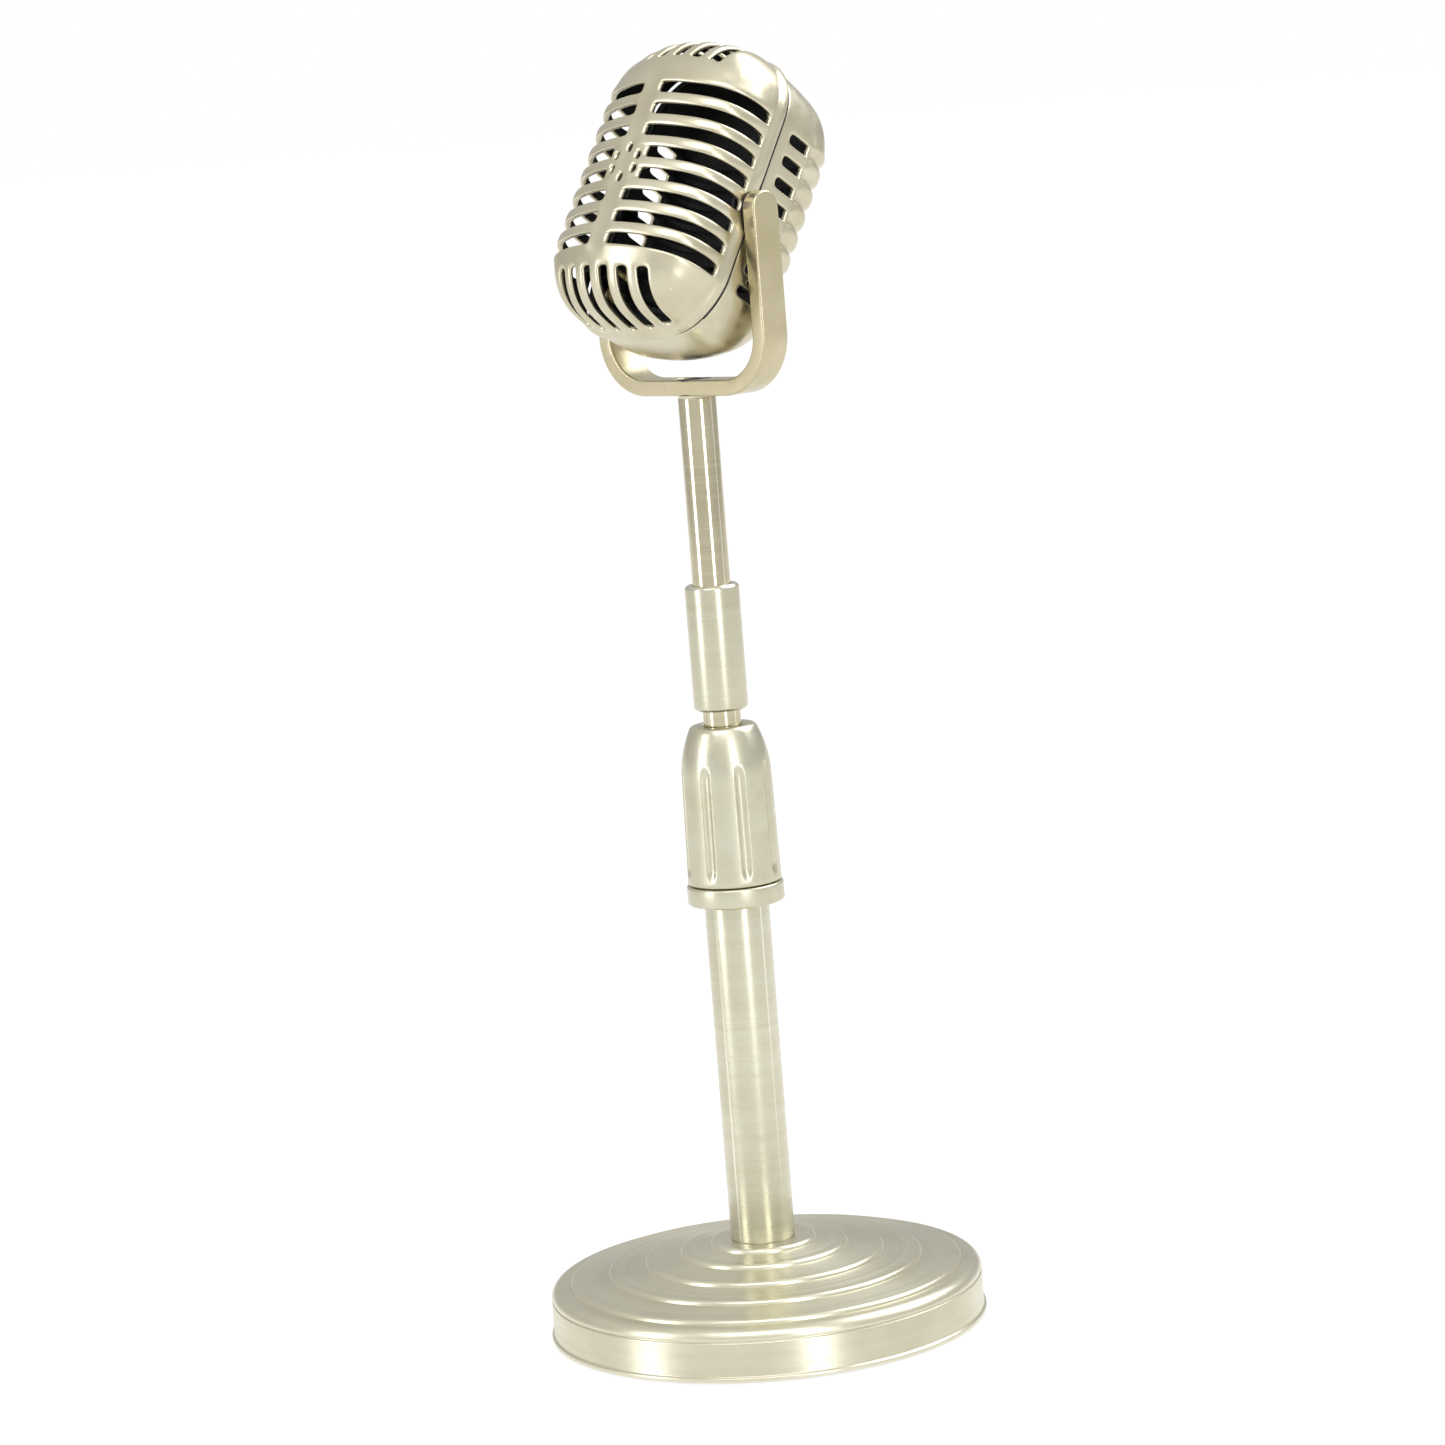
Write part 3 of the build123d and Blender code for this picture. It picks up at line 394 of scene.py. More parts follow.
class MICROPHONE_OT_finishes(bpy.types.Operator):
    """Makes the finishes of all the pieces"""

    bl_idname = "microphone.finishes"
    bl_label = "Finishes"

    def execute(self, context):
        finish = context.scene.microphone_finish
        warm, warm_shade = finish.champagne, finish.champagne_shade
        pale, pale_shade = finish.pale, finish.pale_shade
        MATERIALS.update(
            head=satin_plating("champagne_plated_head", warm, warm_shade, 0.3),
            yoke=satin_plating("champagne_plated_yoke", "CDC3A5", "BFB592", 0.3, edge_wear_and_highlight=False),
            base=turned_plating("spun_champagne_base", "DAD6BF", "CCC7AE", 0.32, 0.8, 0.35),
            tube=turned_plating("turned_pale_tube", pale, pale_shade, 0.3, 0.5, 0.25),
            clutch=satin_plating("pale_plated_clutch", pale, pale_shade, 0.3),
            rod=turned_plating("polished_nickel_rod", "CAC2A4", "B8AE90", 0.15, 0.6, 0.1),
            # Flat black lacquer sprayed inside the shells keeps the slots dark; the same black is
            # also put on the faces at the joint between the shells as a painted shadow.
            inside=plain_surface("black_inside_and_painted_seam_shadow", "0B0B0A", "141310", 0.62, 0.8, 0.02),
            # Sand-cast grey iron: rough skin with darker hollows.
            iron=plain_surface("cast_grey_iron", "5A5856", "3E3D3B", 0.62, 1.6, 0.25, 0.85),
            # Closed-cell EVA foam: fine dull cells.
            foam=plain_surface("eva_foam", "1C1C1D", "252526", 0.9, 0.7, 0.12),
            # Bright zinc plating: cool grey with a faint bloom.
            zinc=plain_surface("zinc_plated_steel", "B9BEC2", "A3A9AE", 0.34, 0.9, 0.01, 1.0),
            # Moulded nylon: smooth waxy black.
            nylon=plain_surface("moulded_nylon", "1A1A1B", "222223", 0.42, 1.0, 0.015),
            # Undyed nylon: the same waxy surface in a warm ivory.
            ivory=plain_surface("ivory_nylon", "CFC8B2", "C4BCA4", 0.42, 1.0, 0.015),
            # Vulcanised fibre: dull black with paper-like fibres.
            fibre=plain_surface("vulcanised_fibre", "201D1B", "2B2724", 0.72, 0.5, 0.03),
            # Black oxide on steel: deep grey with a dry sheen.
            oxide=plain_surface("black_oxide_steel", "26272A", "1B1C1E", 0.4, 0.6, 0.01, 0.9),
        )
        return {"FINISHED"}


# ---------------------------------------------------------------- base and turned pieces
BASE_WALL = 1.6
BASE_LIP = 0.8
BASE_LIP_TOP = 1.3
BASE_LIP_FOOT = 1.7
BASE_GROOVE = 0.5
BASE_GROOVE_BOTTOM = 12.8
BASE_GROOVE_FLOOR = 13.05
BASE_SHOULDER = 3.3
BASE_SHOULDER_FOOT = 13.6
BASE_SHOULDER_INNER = 0.6
BASE_SKIRT_INNER = 2.0
BASE_TERRACES = (61.5, 49.0, 37.0, 25.5, 15.5)
BASE_RISER = 1.5
BASE_SLOPE = 0.08
BASE_STUD_HOLE = 4.2
BASE_ROOF_EDGE = 14.0
BASE_EXTRA_STEPS = 32
BASE_SOFTENING = 0.22


def base_outline():
    """Outline of the spun cover: lip, skirt, groove, round shoulder and terraces."""
    bottom, top = height_range("base_shell")
    rim = reach("base_shell")
    skirt = rim - BASE_LIP
    groove = skirt - BASE_GROOVE
    shoulder = skirt - BASE_SHOULDER
    points = [
        (skirt - BASE_WALL, bottom), (rim, bottom), (rim, bottom + BASE_LIP_TOP),
        (skirt, bottom + BASE_LIP_FOOT), (skirt, BASE_GROOVE_BOTTOM),
        (groove, BASE_GROOVE_FLOOR), (groove, BASE_SHOULDER_FOOT),
    ]
    points += arc((shoulder, BASE_SHOULDER_FOOT), BASE_SHOULDER, 0, 90, 8)
    height = BASE_SHOULDER_FOOT + BASE_SHOULDER
    previous = BASE_TERRACES[0]
    for radius in BASE_TERRACES:
        height += (previous - radius) * BASE_SLOPE
        points += arc((radius, height), BASE_RISER, 0, 90, 6)
        height += BASE_RISER
        previous = radius
    roof = top - BASE_WALL - BASE_RISER
    points += [
        (BASE_STUD_HOLE, top), (BASE_STUD_HOLE, roof), (BASE_ROOF_EDGE, roof),
        (shoulder - BASE_WALL, BASE_SHOULDER_FOOT + BASE_SHOULDER_INNER),
        (skirt - BASE_WALL, BASE_SHOULDER_FOOT - BASE_SKIRT_INNER),
    ]
    return points


class MICROPHONE_OT_base(bpy.types.Operator):
    """Builds the spun base cover and finishes the parts under it"""

    bl_idname = "microphone.base"
    bl_label = "Base"

    def execute(self, context):
        stand = context.scene.microphone_stand
        bm = lathe(base_outline(), stand.turn_steps + BASE_EXTRA_STEPS, 0.0)
        soften(bm, BASE_SOFTENING, 30, 2)
        cover = new_piece(bm, "spun_base_cover", [MATERIALS["base"]])
        smooth(cover)
        stand_for(cover, "stand", ["base_shell"])
        for node, material in (
            ("base_weight", "iron"), ("base_pad", "foam"), ("base_washer", "zinc"),
            ("base_nut", "zinc"), ("tube_plug", "zinc"),
        ):
            finish_node(node, material)
        return {"FINISHED"}


def finish_node(node, material):
    """Gives a CAD node its finish."""
    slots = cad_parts[node].material_slots
    if not slots:
        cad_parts[node].data.materials.append(MATERIALS[material])
    for slot in slots:
        slot.material = MATERIALS[material]


TUBE_WALL = 1.25
ROD_WALL = 1.2
SLEEVE_WALL = 2.55
SLEEVE_CHAMFER = 0.9
COLLAR_RING_HEIGHT = 6.3
COLLAR_BORE = 10.35
COLLAR_THREAD = 12.5
COLLAR_CHAMFER = 0.6
COLLAR_TOP_CHAMFER = 0.5


def ring_outline(node, wall, bevel=0.0):
    """Outline of a plain turned tube, with chamfered ends if a bevel is given."""
    bottom, top = height_range(node)
    outer = reach(node)
    inner = outer - wall
    if bevel == 0:
        return [(inner, bottom), (outer, bottom), (outer, top), (inner, top)]
    return [
        (inner, bottom), (outer - bevel, bottom), (outer, bottom + bevel),
        (outer, top - bevel), (outer - bevel, top), (inner, top),
    ]


class MICROPHONE_OT_stand(bpy.types.Operator):
    """Builds the tube, the collar, the rod and the stop sleeve"""

    bl_idname = "microphone.stand"
    bl_label = "Stand"

    def execute(self, context):
        stand = context.scene.microphone_stand
        steps = stand.turn_steps
        softening = stand.softening / MM
        collar_bottom, collar_top = height_range("clutch_body")
        ring = reach("clutch_body")
        ring_top = collar_bottom + COLLAR_RING_HEIGHT
        collar = [
            (COLLAR_BORE, collar_bottom), (ring - COLLAR_CHAMFER, collar_bottom),
            (ring, collar_bottom + COLLAR_CHAMFER), (ring, ring_top - COLLAR_TOP_CHAMFER),
            (ring - COLLAR_TOP_CHAMFER, ring_top), (COLLAR_THREAD, ring_top),
            (COLLAR_THREAD, collar_top - COLLAR_CHAMFER),
            (COLLAR_THREAD - COLLAR_CHAMFER, collar_top), (COLLAR_BORE, collar_top),
        ]
        table = (
            ("turned_tube", "lower_tube", "stand", "tube", "tube_plating",
             ring_outline("lower_tube", TUBE_WALL)),
            ("turned_collar", "clutch_body", "stand", "clutch", "clutch_plating", collar),
            ("polished_rod", "mast_rod", "mast", "rod", "rod_plating",
             ring_outline("mast_rod", ROD_WALL)),
            ("stop_sleeve", "rod_sleeve", "mast", "tube", "tube_plating",
             ring_outline("rod_sleeve", SLEEVE_WALL, SLEEVE_CHAMFER)),
        )
        for name, node, body, material, slot, outline in table:
            piece = new_piece(lathe(outline, steps, softening), name, [MATERIALS[material]])
            smooth(piece)
            stand_for(piece, body, [node])
        for node, material in (
            ("clutch_collet", "nylon"), ("rod_bush", "nylon"), ("rod_insert", "zinc"),
            ("swivel_washer", "ivory"), ("yoke_screw", "oxide"),
        ):
            finish_node(node, material)
        return {"FINISHED"}


# ---------------------------------------------------------------- clutch nut
GRIP_GROOVES = 8
GRIP_FIRST_GROOVE = 15.5
GRIP_GROOVE_RADIUS = 1.9
GRIP_GROOVE_LENGTH = 35.0
GRIP_SHOULDER = 16.5
GRIP_WAIST = 14.25
GRIP_CROWN = 10.3
GRIP_GROOVE_FOOT = 3.0
GRIP_BORE = 12.6
GRIP_BORE_DEPTH = 34.0
GRIP_MOUTH = 7.1
GRIP_MOUTH_DEPTH = 7.0
GRIP_CHAMFER = 0.4
GRIP_TAPER_ROWS = 30
GRIP_SHOULDER_ROWS = 14
GRIP_STEPS = 288


def grip_outline(bottom, top, foot):
    """Outline of the clutch nut: a slow taper, then a rounded shoulder to the mouth."""
    shoulder = top - GRIP_SHOULDER
    drop = GRIP_WAIST - GRIP_CROWN
    curve = (GRIP_SHOULDER ** 2 + drop ** 2) / (2 * drop)
    points = [(GRIP_BORE, bottom), (foot - GRIP_CHAMFER, bottom)]
    for index in range(GRIP_TAPER_ROWS + 1):
        share = index / GRIP_TAPER_ROWS
        height = bottom + GRIP_CHAMFER + (shoulder - bottom - GRIP_CHAMFER) * share
        points.append((foot + (GRIP_WAIST - foot) * share, height))
    for index in range(1, GRIP_SHOULDER_ROWS + 1):
        rise = (GRIP_SHOULDER - 0.7) * index / GRIP_SHOULDER_ROWS
        sag = curve - math.sqrt(curve ** 2 - rise ** 2)
        points.append((GRIP_WAIST - sag, shoulder + rise))
    points += [
        (GRIP_CROWN - 0.1, top - 0.25), (GRIP_CROWN - 0.5, top),
        (GRIP_MOUTH + GRIP_CHAMFER, top), (GRIP_MOUTH, top - GRIP_CHAMFER),
        (GRIP_MOUTH, top - GRIP_MOUTH_DEPTH), (GRIP_BORE, top - GRIP_BORE_DEPTH),
    ]
    return points


def groove_cut(radius, angle, height, middle_height, depth):
    """Depth of the groove under one point of the nut's surface."""
    straight = GRIP_GROOVE_LENGTH / 2 - GRIP_GROOVE_RADIUS
    pitch = FULL_TURN / GRIP_GROOVES
    offset = (angle - math.radians(GRIP_FIRST_GROOVE)) % pitch
    sideways = min(offset, pitch - offset) * radius
    beyond = max(abs(height - middle_height) - straight, 0.0)
    distance = math.hypot(sideways, beyond)
    if distance >= GRIP_GROOVE_RADIUS:
        return 0.0
    floor = GRIP_GROOVE_RADIUS - depth
    return max(math.sqrt(GRIP_GROOVE_RADIUS ** 2 - distance ** 2) - floor, 0.0)


class MICROPHONE_OT_clutch(bpy.types.Operator):
    """Builds the grooved clutch nut"""

    bl_idname = "microphone.clutch"
    bl_label = "Clutch nut"

    def execute(self, context):
        bottom, top = height_range("clutch_grip")
        foot = reach("clutch_grip")
        depth = context.scene.microphone_stand.groove_depth / MM
        bm = lathe(grip_outline(bottom, top, foot), GRIP_STEPS, 0.0)
        middle_height = bottom + GRIP_GROOVE_FOOT + GRIP_GROOVE_LENGTH / 2
        for vert in bm.verts:
            radius = math.hypot(vert.co.x, vert.co.y)
            if radius < GRIP_CROWN - 0.6 or not bottom + 0.2 < vert.co.z < top - 1.0:
                continue
            angle = math.atan2(vert.co.y, vert.co.x)
            cut = groove_cut(radius, angle, vert.co.z, middle_height, depth)
            vert.co.x *= (radius - cut) / radius
            vert.co.y *= (radius - cut) / radius
        grip = new_piece(bm, "grooved_clutch_nut", [MATERIALS["clutch"]])
        smooth(grip, 50)
        stand_for(grip, "clutch", ["clutch_grip"])
        return {"FINISHED"}


# ---------------------------------------------------------------- yoke and pivots
class MICROPHONE_OT_yoke(bpy.types.Operator):
    """Builds the bent yoke and finishes the small parts of the pivots"""

    bl_idname = "microphone.yoke"
    bl_label = "Yoke"

    def execute(self, context):
        bm = bmesh.new()
        bm.from_mesh(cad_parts["yoke"].data)
        bmesh.ops.scale(bm, vec=(1 / MM, 1 / MM, 1 / MM), verts=bm.verts)
        bmesh.ops.remove_doubles(bm, verts=bm.verts, dist=1e-3)
        yoke = new_piece(bm, "bent_yoke", [MATERIALS["yoke"]])
        smooth(yoke, 30)
        stand_for(yoke, "yoke", ["yoke"])
        for node, material in (
            ("pivot_washers", "fibre"), ("pivot_springs", "zinc"), ("pivot_screws", "oxide"),
            ("pivot_bushes", "nylon"), ("case_screws", "oxide"),
        ):
            finish_node(node, material)
        return {"FINISHED"}


# ---------------------------------------------------------------- head form
# Sizes in millimetres, heights from the pivot before the head is tipped.
Half = namedtuple(
    "Half", "facing width depth flat corner edge crown top bottom core_x core_y core_high core_low"
)

ROW_PITCH = 7.48
ROW_COUNT = 8
ROW_MIDDLE = 1.7
ROW_HALF = 1.65
BAR_SUPPORT = 0.95
BAND = 3.7
BADGE = 7.4
BADGE_ROWS = (3, 4)
DASH_HALF = 0.75
DASH_OUTER = 5.1
DASH_HEIGHTS = (1.15, 3.75, 6.35)
DOME_COLUMNS = (3.5, 10.5, 17.5)
DOME_HALF = 1.6
CROWN_SLOT_START = 40.5
CHIN_SLOT_START = -33.0
SLOT_END = 5.2
SIDE_SLOT_FRONT = 6.2
SIDE_SLOT_BACK = 14.4
GROOVE_START = 15.8
GROOVE_LINE = 1.15
GROOVE_DEPTH = 0.9
RIM_BEAD = 0.55
RIM_FLUTE = 0.2
SEAM_BEVEL = 0.6
SEAM_STEP = 0.6
# Widths of the painted shadow along the joint, on the front and the rear shell.
FRONT_SEAM_SHADE = 0.3
REAR_SEAM_SHADE = 1.4
SEAM_OVERLAP = 0.08
PIVOT_SEAT = 4.15
CASE_SCREW_BACK = 10.3
CASE_SCREW_HOLE = 1.25
CASE_SCREW_HALF_LINE = 1.1
CASE_SCREW_REACH = 2.0
LUG_HALF_HEIGHT = 2.0
LUG_THICKNESS = 3.4
LUG_ROOM = 0.8
LUG_BACK = 12.3
TONGUE_HALF_WIDTH = 8.0
OVERLAP_DEPTH = 5.0


def row_heights():
    first = ROW_MIDDLE + (ROW_COUNT - 1) * ROW_PITCH / 2
    return [first - index * ROW_PITCH for index in range(ROW_COUNT)]


ROWS = row_heights()
CASE_SCREW_HEIGHT = (ROWS[6] + ROWS[7]) / 2
CORE_HIGH = ROWS[0] + ROW_HALF + BAR_SUPPORT
CORE_LOW = ROWS[-1] - ROW_HALF - BAR_SUPPORT
CORE_HALF_WIDTH = 19.1
FRONT = Half(
    facing=-1, width=30.2, depth=29.0, flat=10.0, corner=16.0, edge=14.5, crown=90.0, top=52.2,
    bottom=-44.6, core_x=CORE_HALF_WIDTH, core_y=SLOT_END, core_high=CORE_HIGH, core_low=CORE_LOW,
)
REAR = Half(
    facing=1, width=29.7, depth=31.0, flat=17.0, corner=12.3, edge=14.0, crown=89.5, top=51.7,
    bottom=-44.1, core_x=CORE_HALF_WIDTH, core_y=GROOVE_START, core_high=CORE_HIGH,
    core_low=CORE_LOW,
)


def wall_distance(half, x, out):
    """Signed distance from the upright wall of the head, positive outside."""
    across = abs(x)
    if out <= half.flat:
        return across - half.width
    rest = half.depth - half.flat
    inset = half.width - half.corner
    wide = (inset ** 2 + rest ** 2 - half.corner ** 2) / (2 * (rest - half.corner))
    centre = half.depth - wide
    if math.atan2(across, out - centre) < math.asin(inset / (wide - half.corner)):
        return math.hypot(across, out - centre) - wide
    return math.hypot(across - inset, out - half.flat) - half.corner


def form_distance(half, point):
    """Signed distance from the head's outer form: wall, domed ends and round edges."""
    wall = wall_distance(half, point.x, point.y * half.facing) + half.edge
    centre = half.top - half.crown if point.z > 0 else half.bottom + half.crown
    end = math.hypot(math.hypot(point.x, point.y), point.z - centre) - half.crown + half.edge
    outside = math.hypot(max(wall, 0.0), max(end, 0.0))
    return outside + min(max(wall, end), 0.0) - half.edge


def onto_form(half, point):
    """Slides a point of the plain box onto the head's form, away from the core block."""
    out = point.y * half.facing
    core = Vector((
        max(-half.core_x, min(half.core_x, point.x)),
        half.facing * min(out, half.core_y),
        max(half.core_low, min(half.core_high, point.z)),
    ))
    direction = point - core
    if direction.length < 1e-6:
        return point.copy()
    direction.normalize()
    near, far = 0.0, 60.0
    for _ in range(36):
        half_way = (near + far) / 2
        if form_distance(half, core + direction * half_way) > 0:
            far = half_way
        else:
            near = half_way
    return core + direction * near


def box_height(half, target):
    """Height on the box's face whose place on the form has the target height."""
    near, far = (half.core_high, half.top) if target > 0 else (half.core_low, half.bottom)
    for _ in range(30):
        between = (near + far) / 2
        found = onto_form(half, Vector((0, half.facing * half.depth, between))).z
        if abs(found) > abs(target):
            far = between
        else:
            near = between
    return (near + far) / 2


def spaced(start, end, pitch, kept=(), margin=1.3):
    """Evenly spaced lines strictly between two ends, leaving room round the kept ones."""
    count = max(int(round(abs(end - start) / pitch)), 1)
    lines = [start + (end - start) * index / count for index in range(1, count)]
    return [v for v in lines if all(abs(v - k) > margin for k in kept)] + list(kept)


def head_cage(half, x_lines, y_lines, z_lines):
    """A box, open at the seam, cut along all the lines."""
    bm = bmesh.new()
    bmesh.ops.create_cube(bm, size=1.0)
    size = (2 * half.width, half.depth, half.top - half.bottom)
    centre = (0, half.facing * half.depth / 2, (half.top + half.bottom) / 2)
    bmesh.ops.scale(bm, vec=size, verts=bm.verts)
    bmesh.ops.translate(bm, vec=centre, verts=bm.verts)
    seam = [f for f in bm.faces if close_to(f.calc_center_median().y, 0)]
    bmesh.ops.delete(bm, geom=seam, context="FACES_ONLY")
    for axis, lines in enumerate((x_lines, y_lines, z_lines)):
        normal = Vector((0, 0, 0))
        normal[axis] = 1
        for line in sorted(lines):
            bmesh.ops.bisect_plane(
                bm, geom=bm.verts[:] + bm.edges[:] + bm.faces[:], dist=1e-4,
                plane_co=normal * line, plane_no=normal,
            )
    return bm


def row_lines():
    """Heights of the slot edges, their middles and the lines that hold the bars' shape."""
    lines = []
    for height in ROWS:
        for offset in (0, ROW_HALF, ROW_HALF + BAR_SUPPORT):
            lines += [height - offset, height + offset] if offset else [height]
    return lines


def in_row(height):
    """Index of the row whose slot holds this height, or None."""
    for index, row in enumerate(ROWS):
        if abs(height - row) < ROW_HALF:
            return index
    return None


def mirrored(lines):
    return sorted(set([-v for v in lines] + list(lines)))


def front_open(half, spot, crown_start, chin_start):
    """True where the front shell has a slot, at a face centre of the box."""
    x, out = abs(spot.x), -spot.y
    on_face = close_to(out, half.depth)
    on_side = close_to(x, half.width)
    on_end = close_to(spot.z, half.top) or close_to(spot.z, half.bottom)
    row = in_row(spot.z)
    if row is not None and (on_face or (on_side and out > SLOT_END)):
        return not on_face or x > (BADGE if row in BADGE_ROWS else BAND)
    column = any(abs(x - c) < DOME_HALF for c in DOME_COLUMNS)
    if column and on_end and out > SLOT_END:
        return True
    return column and on_face and (spot.z > crown_start or spot.z < chin_start)


def badge_open(spot):
    """True where one of the badge's six short slots lies."""
    x, z = abs(spot.x), abs(spot.z - ROW_MIDDLE)
    low, between, high = DASH_HEIGHTS
    if x < DASH_HALF:
        return between < z < high
    return BAND < x < DASH_OUTER and low < z < between


def rear_open(half, spot):
    """True where the rear shell has a slot; further back the rows are blind grooves."""
    in_slot = SIDE_SLOT_FRONT < spot.y < SIDE_SLOT_BACK
    return in_row(spot.z) is not None and close_to(abs(spot.x), half.width) and in_slot


def in_groove(half, spot):
    """True for the inner lines of the blind grooves, clear of their ends."""
    near_row = any(abs(spot.z - row) < GROOVE_LINE + 0.1 for row in ROWS)
    on_back = close_to(spot.y, half.depth) and abs(spot.x) < BAND + 0.1
    return near_row and spot.y > GROOVE_START + 0.1 and not on_back


def round_hole(bm, half, centre, radius, reach_y, low, high):
    """Opens a round hole in both side walls, out of the faces of a small window."""
    window = []
    for face in bm.faces:
        spot = face.calc_center_median()
        inside = abs(spot.y - centre[0]) < reach_y and low < spot.z < high
        if inside and close_to(abs(spot.x), half.width):
            window.append(face)
    rim = {v for f in window for v in f.verts}
    bmesh.ops.delete(bm, geom=window, context="FACES")
    for vert in rim:
        if not vert.is_valid:
            continue
        flat = Vector((vert.co.y - centre[0], vert.co.z - centre[1]))
        if flat.length > 1e-6 and close_to(abs(vert.co.x), half.width):
            flat = flat.normalized() * radius
            vert.co.y, vert.co.z = centre[0] + flat.x, centre[1] + flat.y


def seam_outward(point):
    """Outward direction in the plane of the joint between the shells."""
    middle_height = max(CORE_LOW, min(CORE_HIGH, point.z))
    return Vector((point.x, 0, point.z - middle_height)).normalized()


def pivot_seat(bm, half):
    """Opens the half-round seat of the pivot bush at the seam."""
    low, high = ROWS[4] - ROW_HALF, ROWS[3] - ROW_HALF
    round_hole(bm, half, (0, 0), PIVOT_SEAT, PIVOT_SEAT, low, high)


def add_block(bm, low, high, softening=0.4):
    """Adds a small softened block given by its corners."""
    made = bmesh.ops.create_cube(bm, size=1.0)["verts"]
    size = [b - a for a, b in zip(low, high)]
    centre = [(a + b) / 2 for a, b in zip(low, high)]
    bmesh.ops.scale(bm, vec=size, verts=made)
    bmesh.ops.translate(bm, vec=centre, verts=made)
    edges = {e for v in made for e in v.link_edges}
    bmesh.ops.bevel(
        bm, geom=list(edges), offset=softening, segments=2, profile=0.5,
        affect="EDGES", material=-1,
    )


def shell_piece(bm, name, wall, seam_shade_width, extras):
    """Thickens and rounds a shell cage, adds its inner lugs and tips it back."""
    piece = new_piece(bm, name, [MATERIALS["head"], MATERIALS["inside"]])
    solid = piece.modifiers.new("wall", "SOLIDIFY")
    solid.thickness = wall
    solid.offset = -1
    solid.material_offset = 1
    solid.material_offset_rim = 0
    soft = piece.modifiers.new("rounding", "SUBSURF")
    soft.levels = 2
    soft.render_levels = 2
    frozen(piece)
    bm = bmesh.new()
    bm.from_mesh(piece.data)
    outer_faces = len(bm.faces)
    bmesh.ops.scale(bm, vec=(1 / MM, 1 / MM, 1 / MM), verts=bm.verts)
    for low, high in extras:
        add_block(bm, low, high)
    bm.faces.ensure_lookup_table()
    for face in bm.faces[outer_faces:]:
        face.material_index = 1
    # The faces at the joint between the shells get the black inside finish: a painted shadow that
    # shows as a dark line.
    for face in bm.faces[:outer_faces]:
        spot = face.calc_center_median()
        turned_in = face.normal.dot(seam_outward(spot)) < 0.1
        if abs(spot.y) < seam_shade_width and (abs(face.normal.y) > 0.35 or turned_in):
            face.material_index = 1
    tilt = bpy.context.scene.microphone_head.tilt
    turn = Matrix.Translation(PIVOT / MM) @ Matrix.Rotation(-tilt, 4, "X")
    bmesh.ops.transform(bm, matrix=turn, verts=bm.verts)
    bmesh.ops.scale(bm, vec=(MM, MM, MM), verts=bm.verts)
    bm.to_mesh(piece.data)
    bm.free()
    smooth(piece, 60)
    return piece


def tongue_and_lugs(half, wall):
    """Corners of the blocks that reach from the front shell into the rear one."""
    inside = half.width - wall
    outer_face = inside - LUG_ROOM
    inner_face = outer_face - LUG_THICKNESS
    low, high = CASE_SCREW_HEIGHT - LUG_HALF_HEIGHT, CASE_SCREW_HEIGHT + LUG_HALF_HEIGHT
    wide, front = TONGUE_HALF_WIDTH, -OVERLAP_DEPTH
    blocks = [
        ((-wide, front, half.top - 5.3), (wide, OVERLAP_DEPTH, half.top - 3.3)),
        ((-wide, front, half.top - 4.2), (wide, -0.1, half.top - 1.6)),
    ]
    for side in (1, -1):
        for face, back in ((outer_face, LUG_BACK), (inside + LUG_ROOM, -0.1)):
            left, right = sorted((side * face, side * inner_face))
            blocks.append(((left, front, low), (right, back, high)))
    return blocks


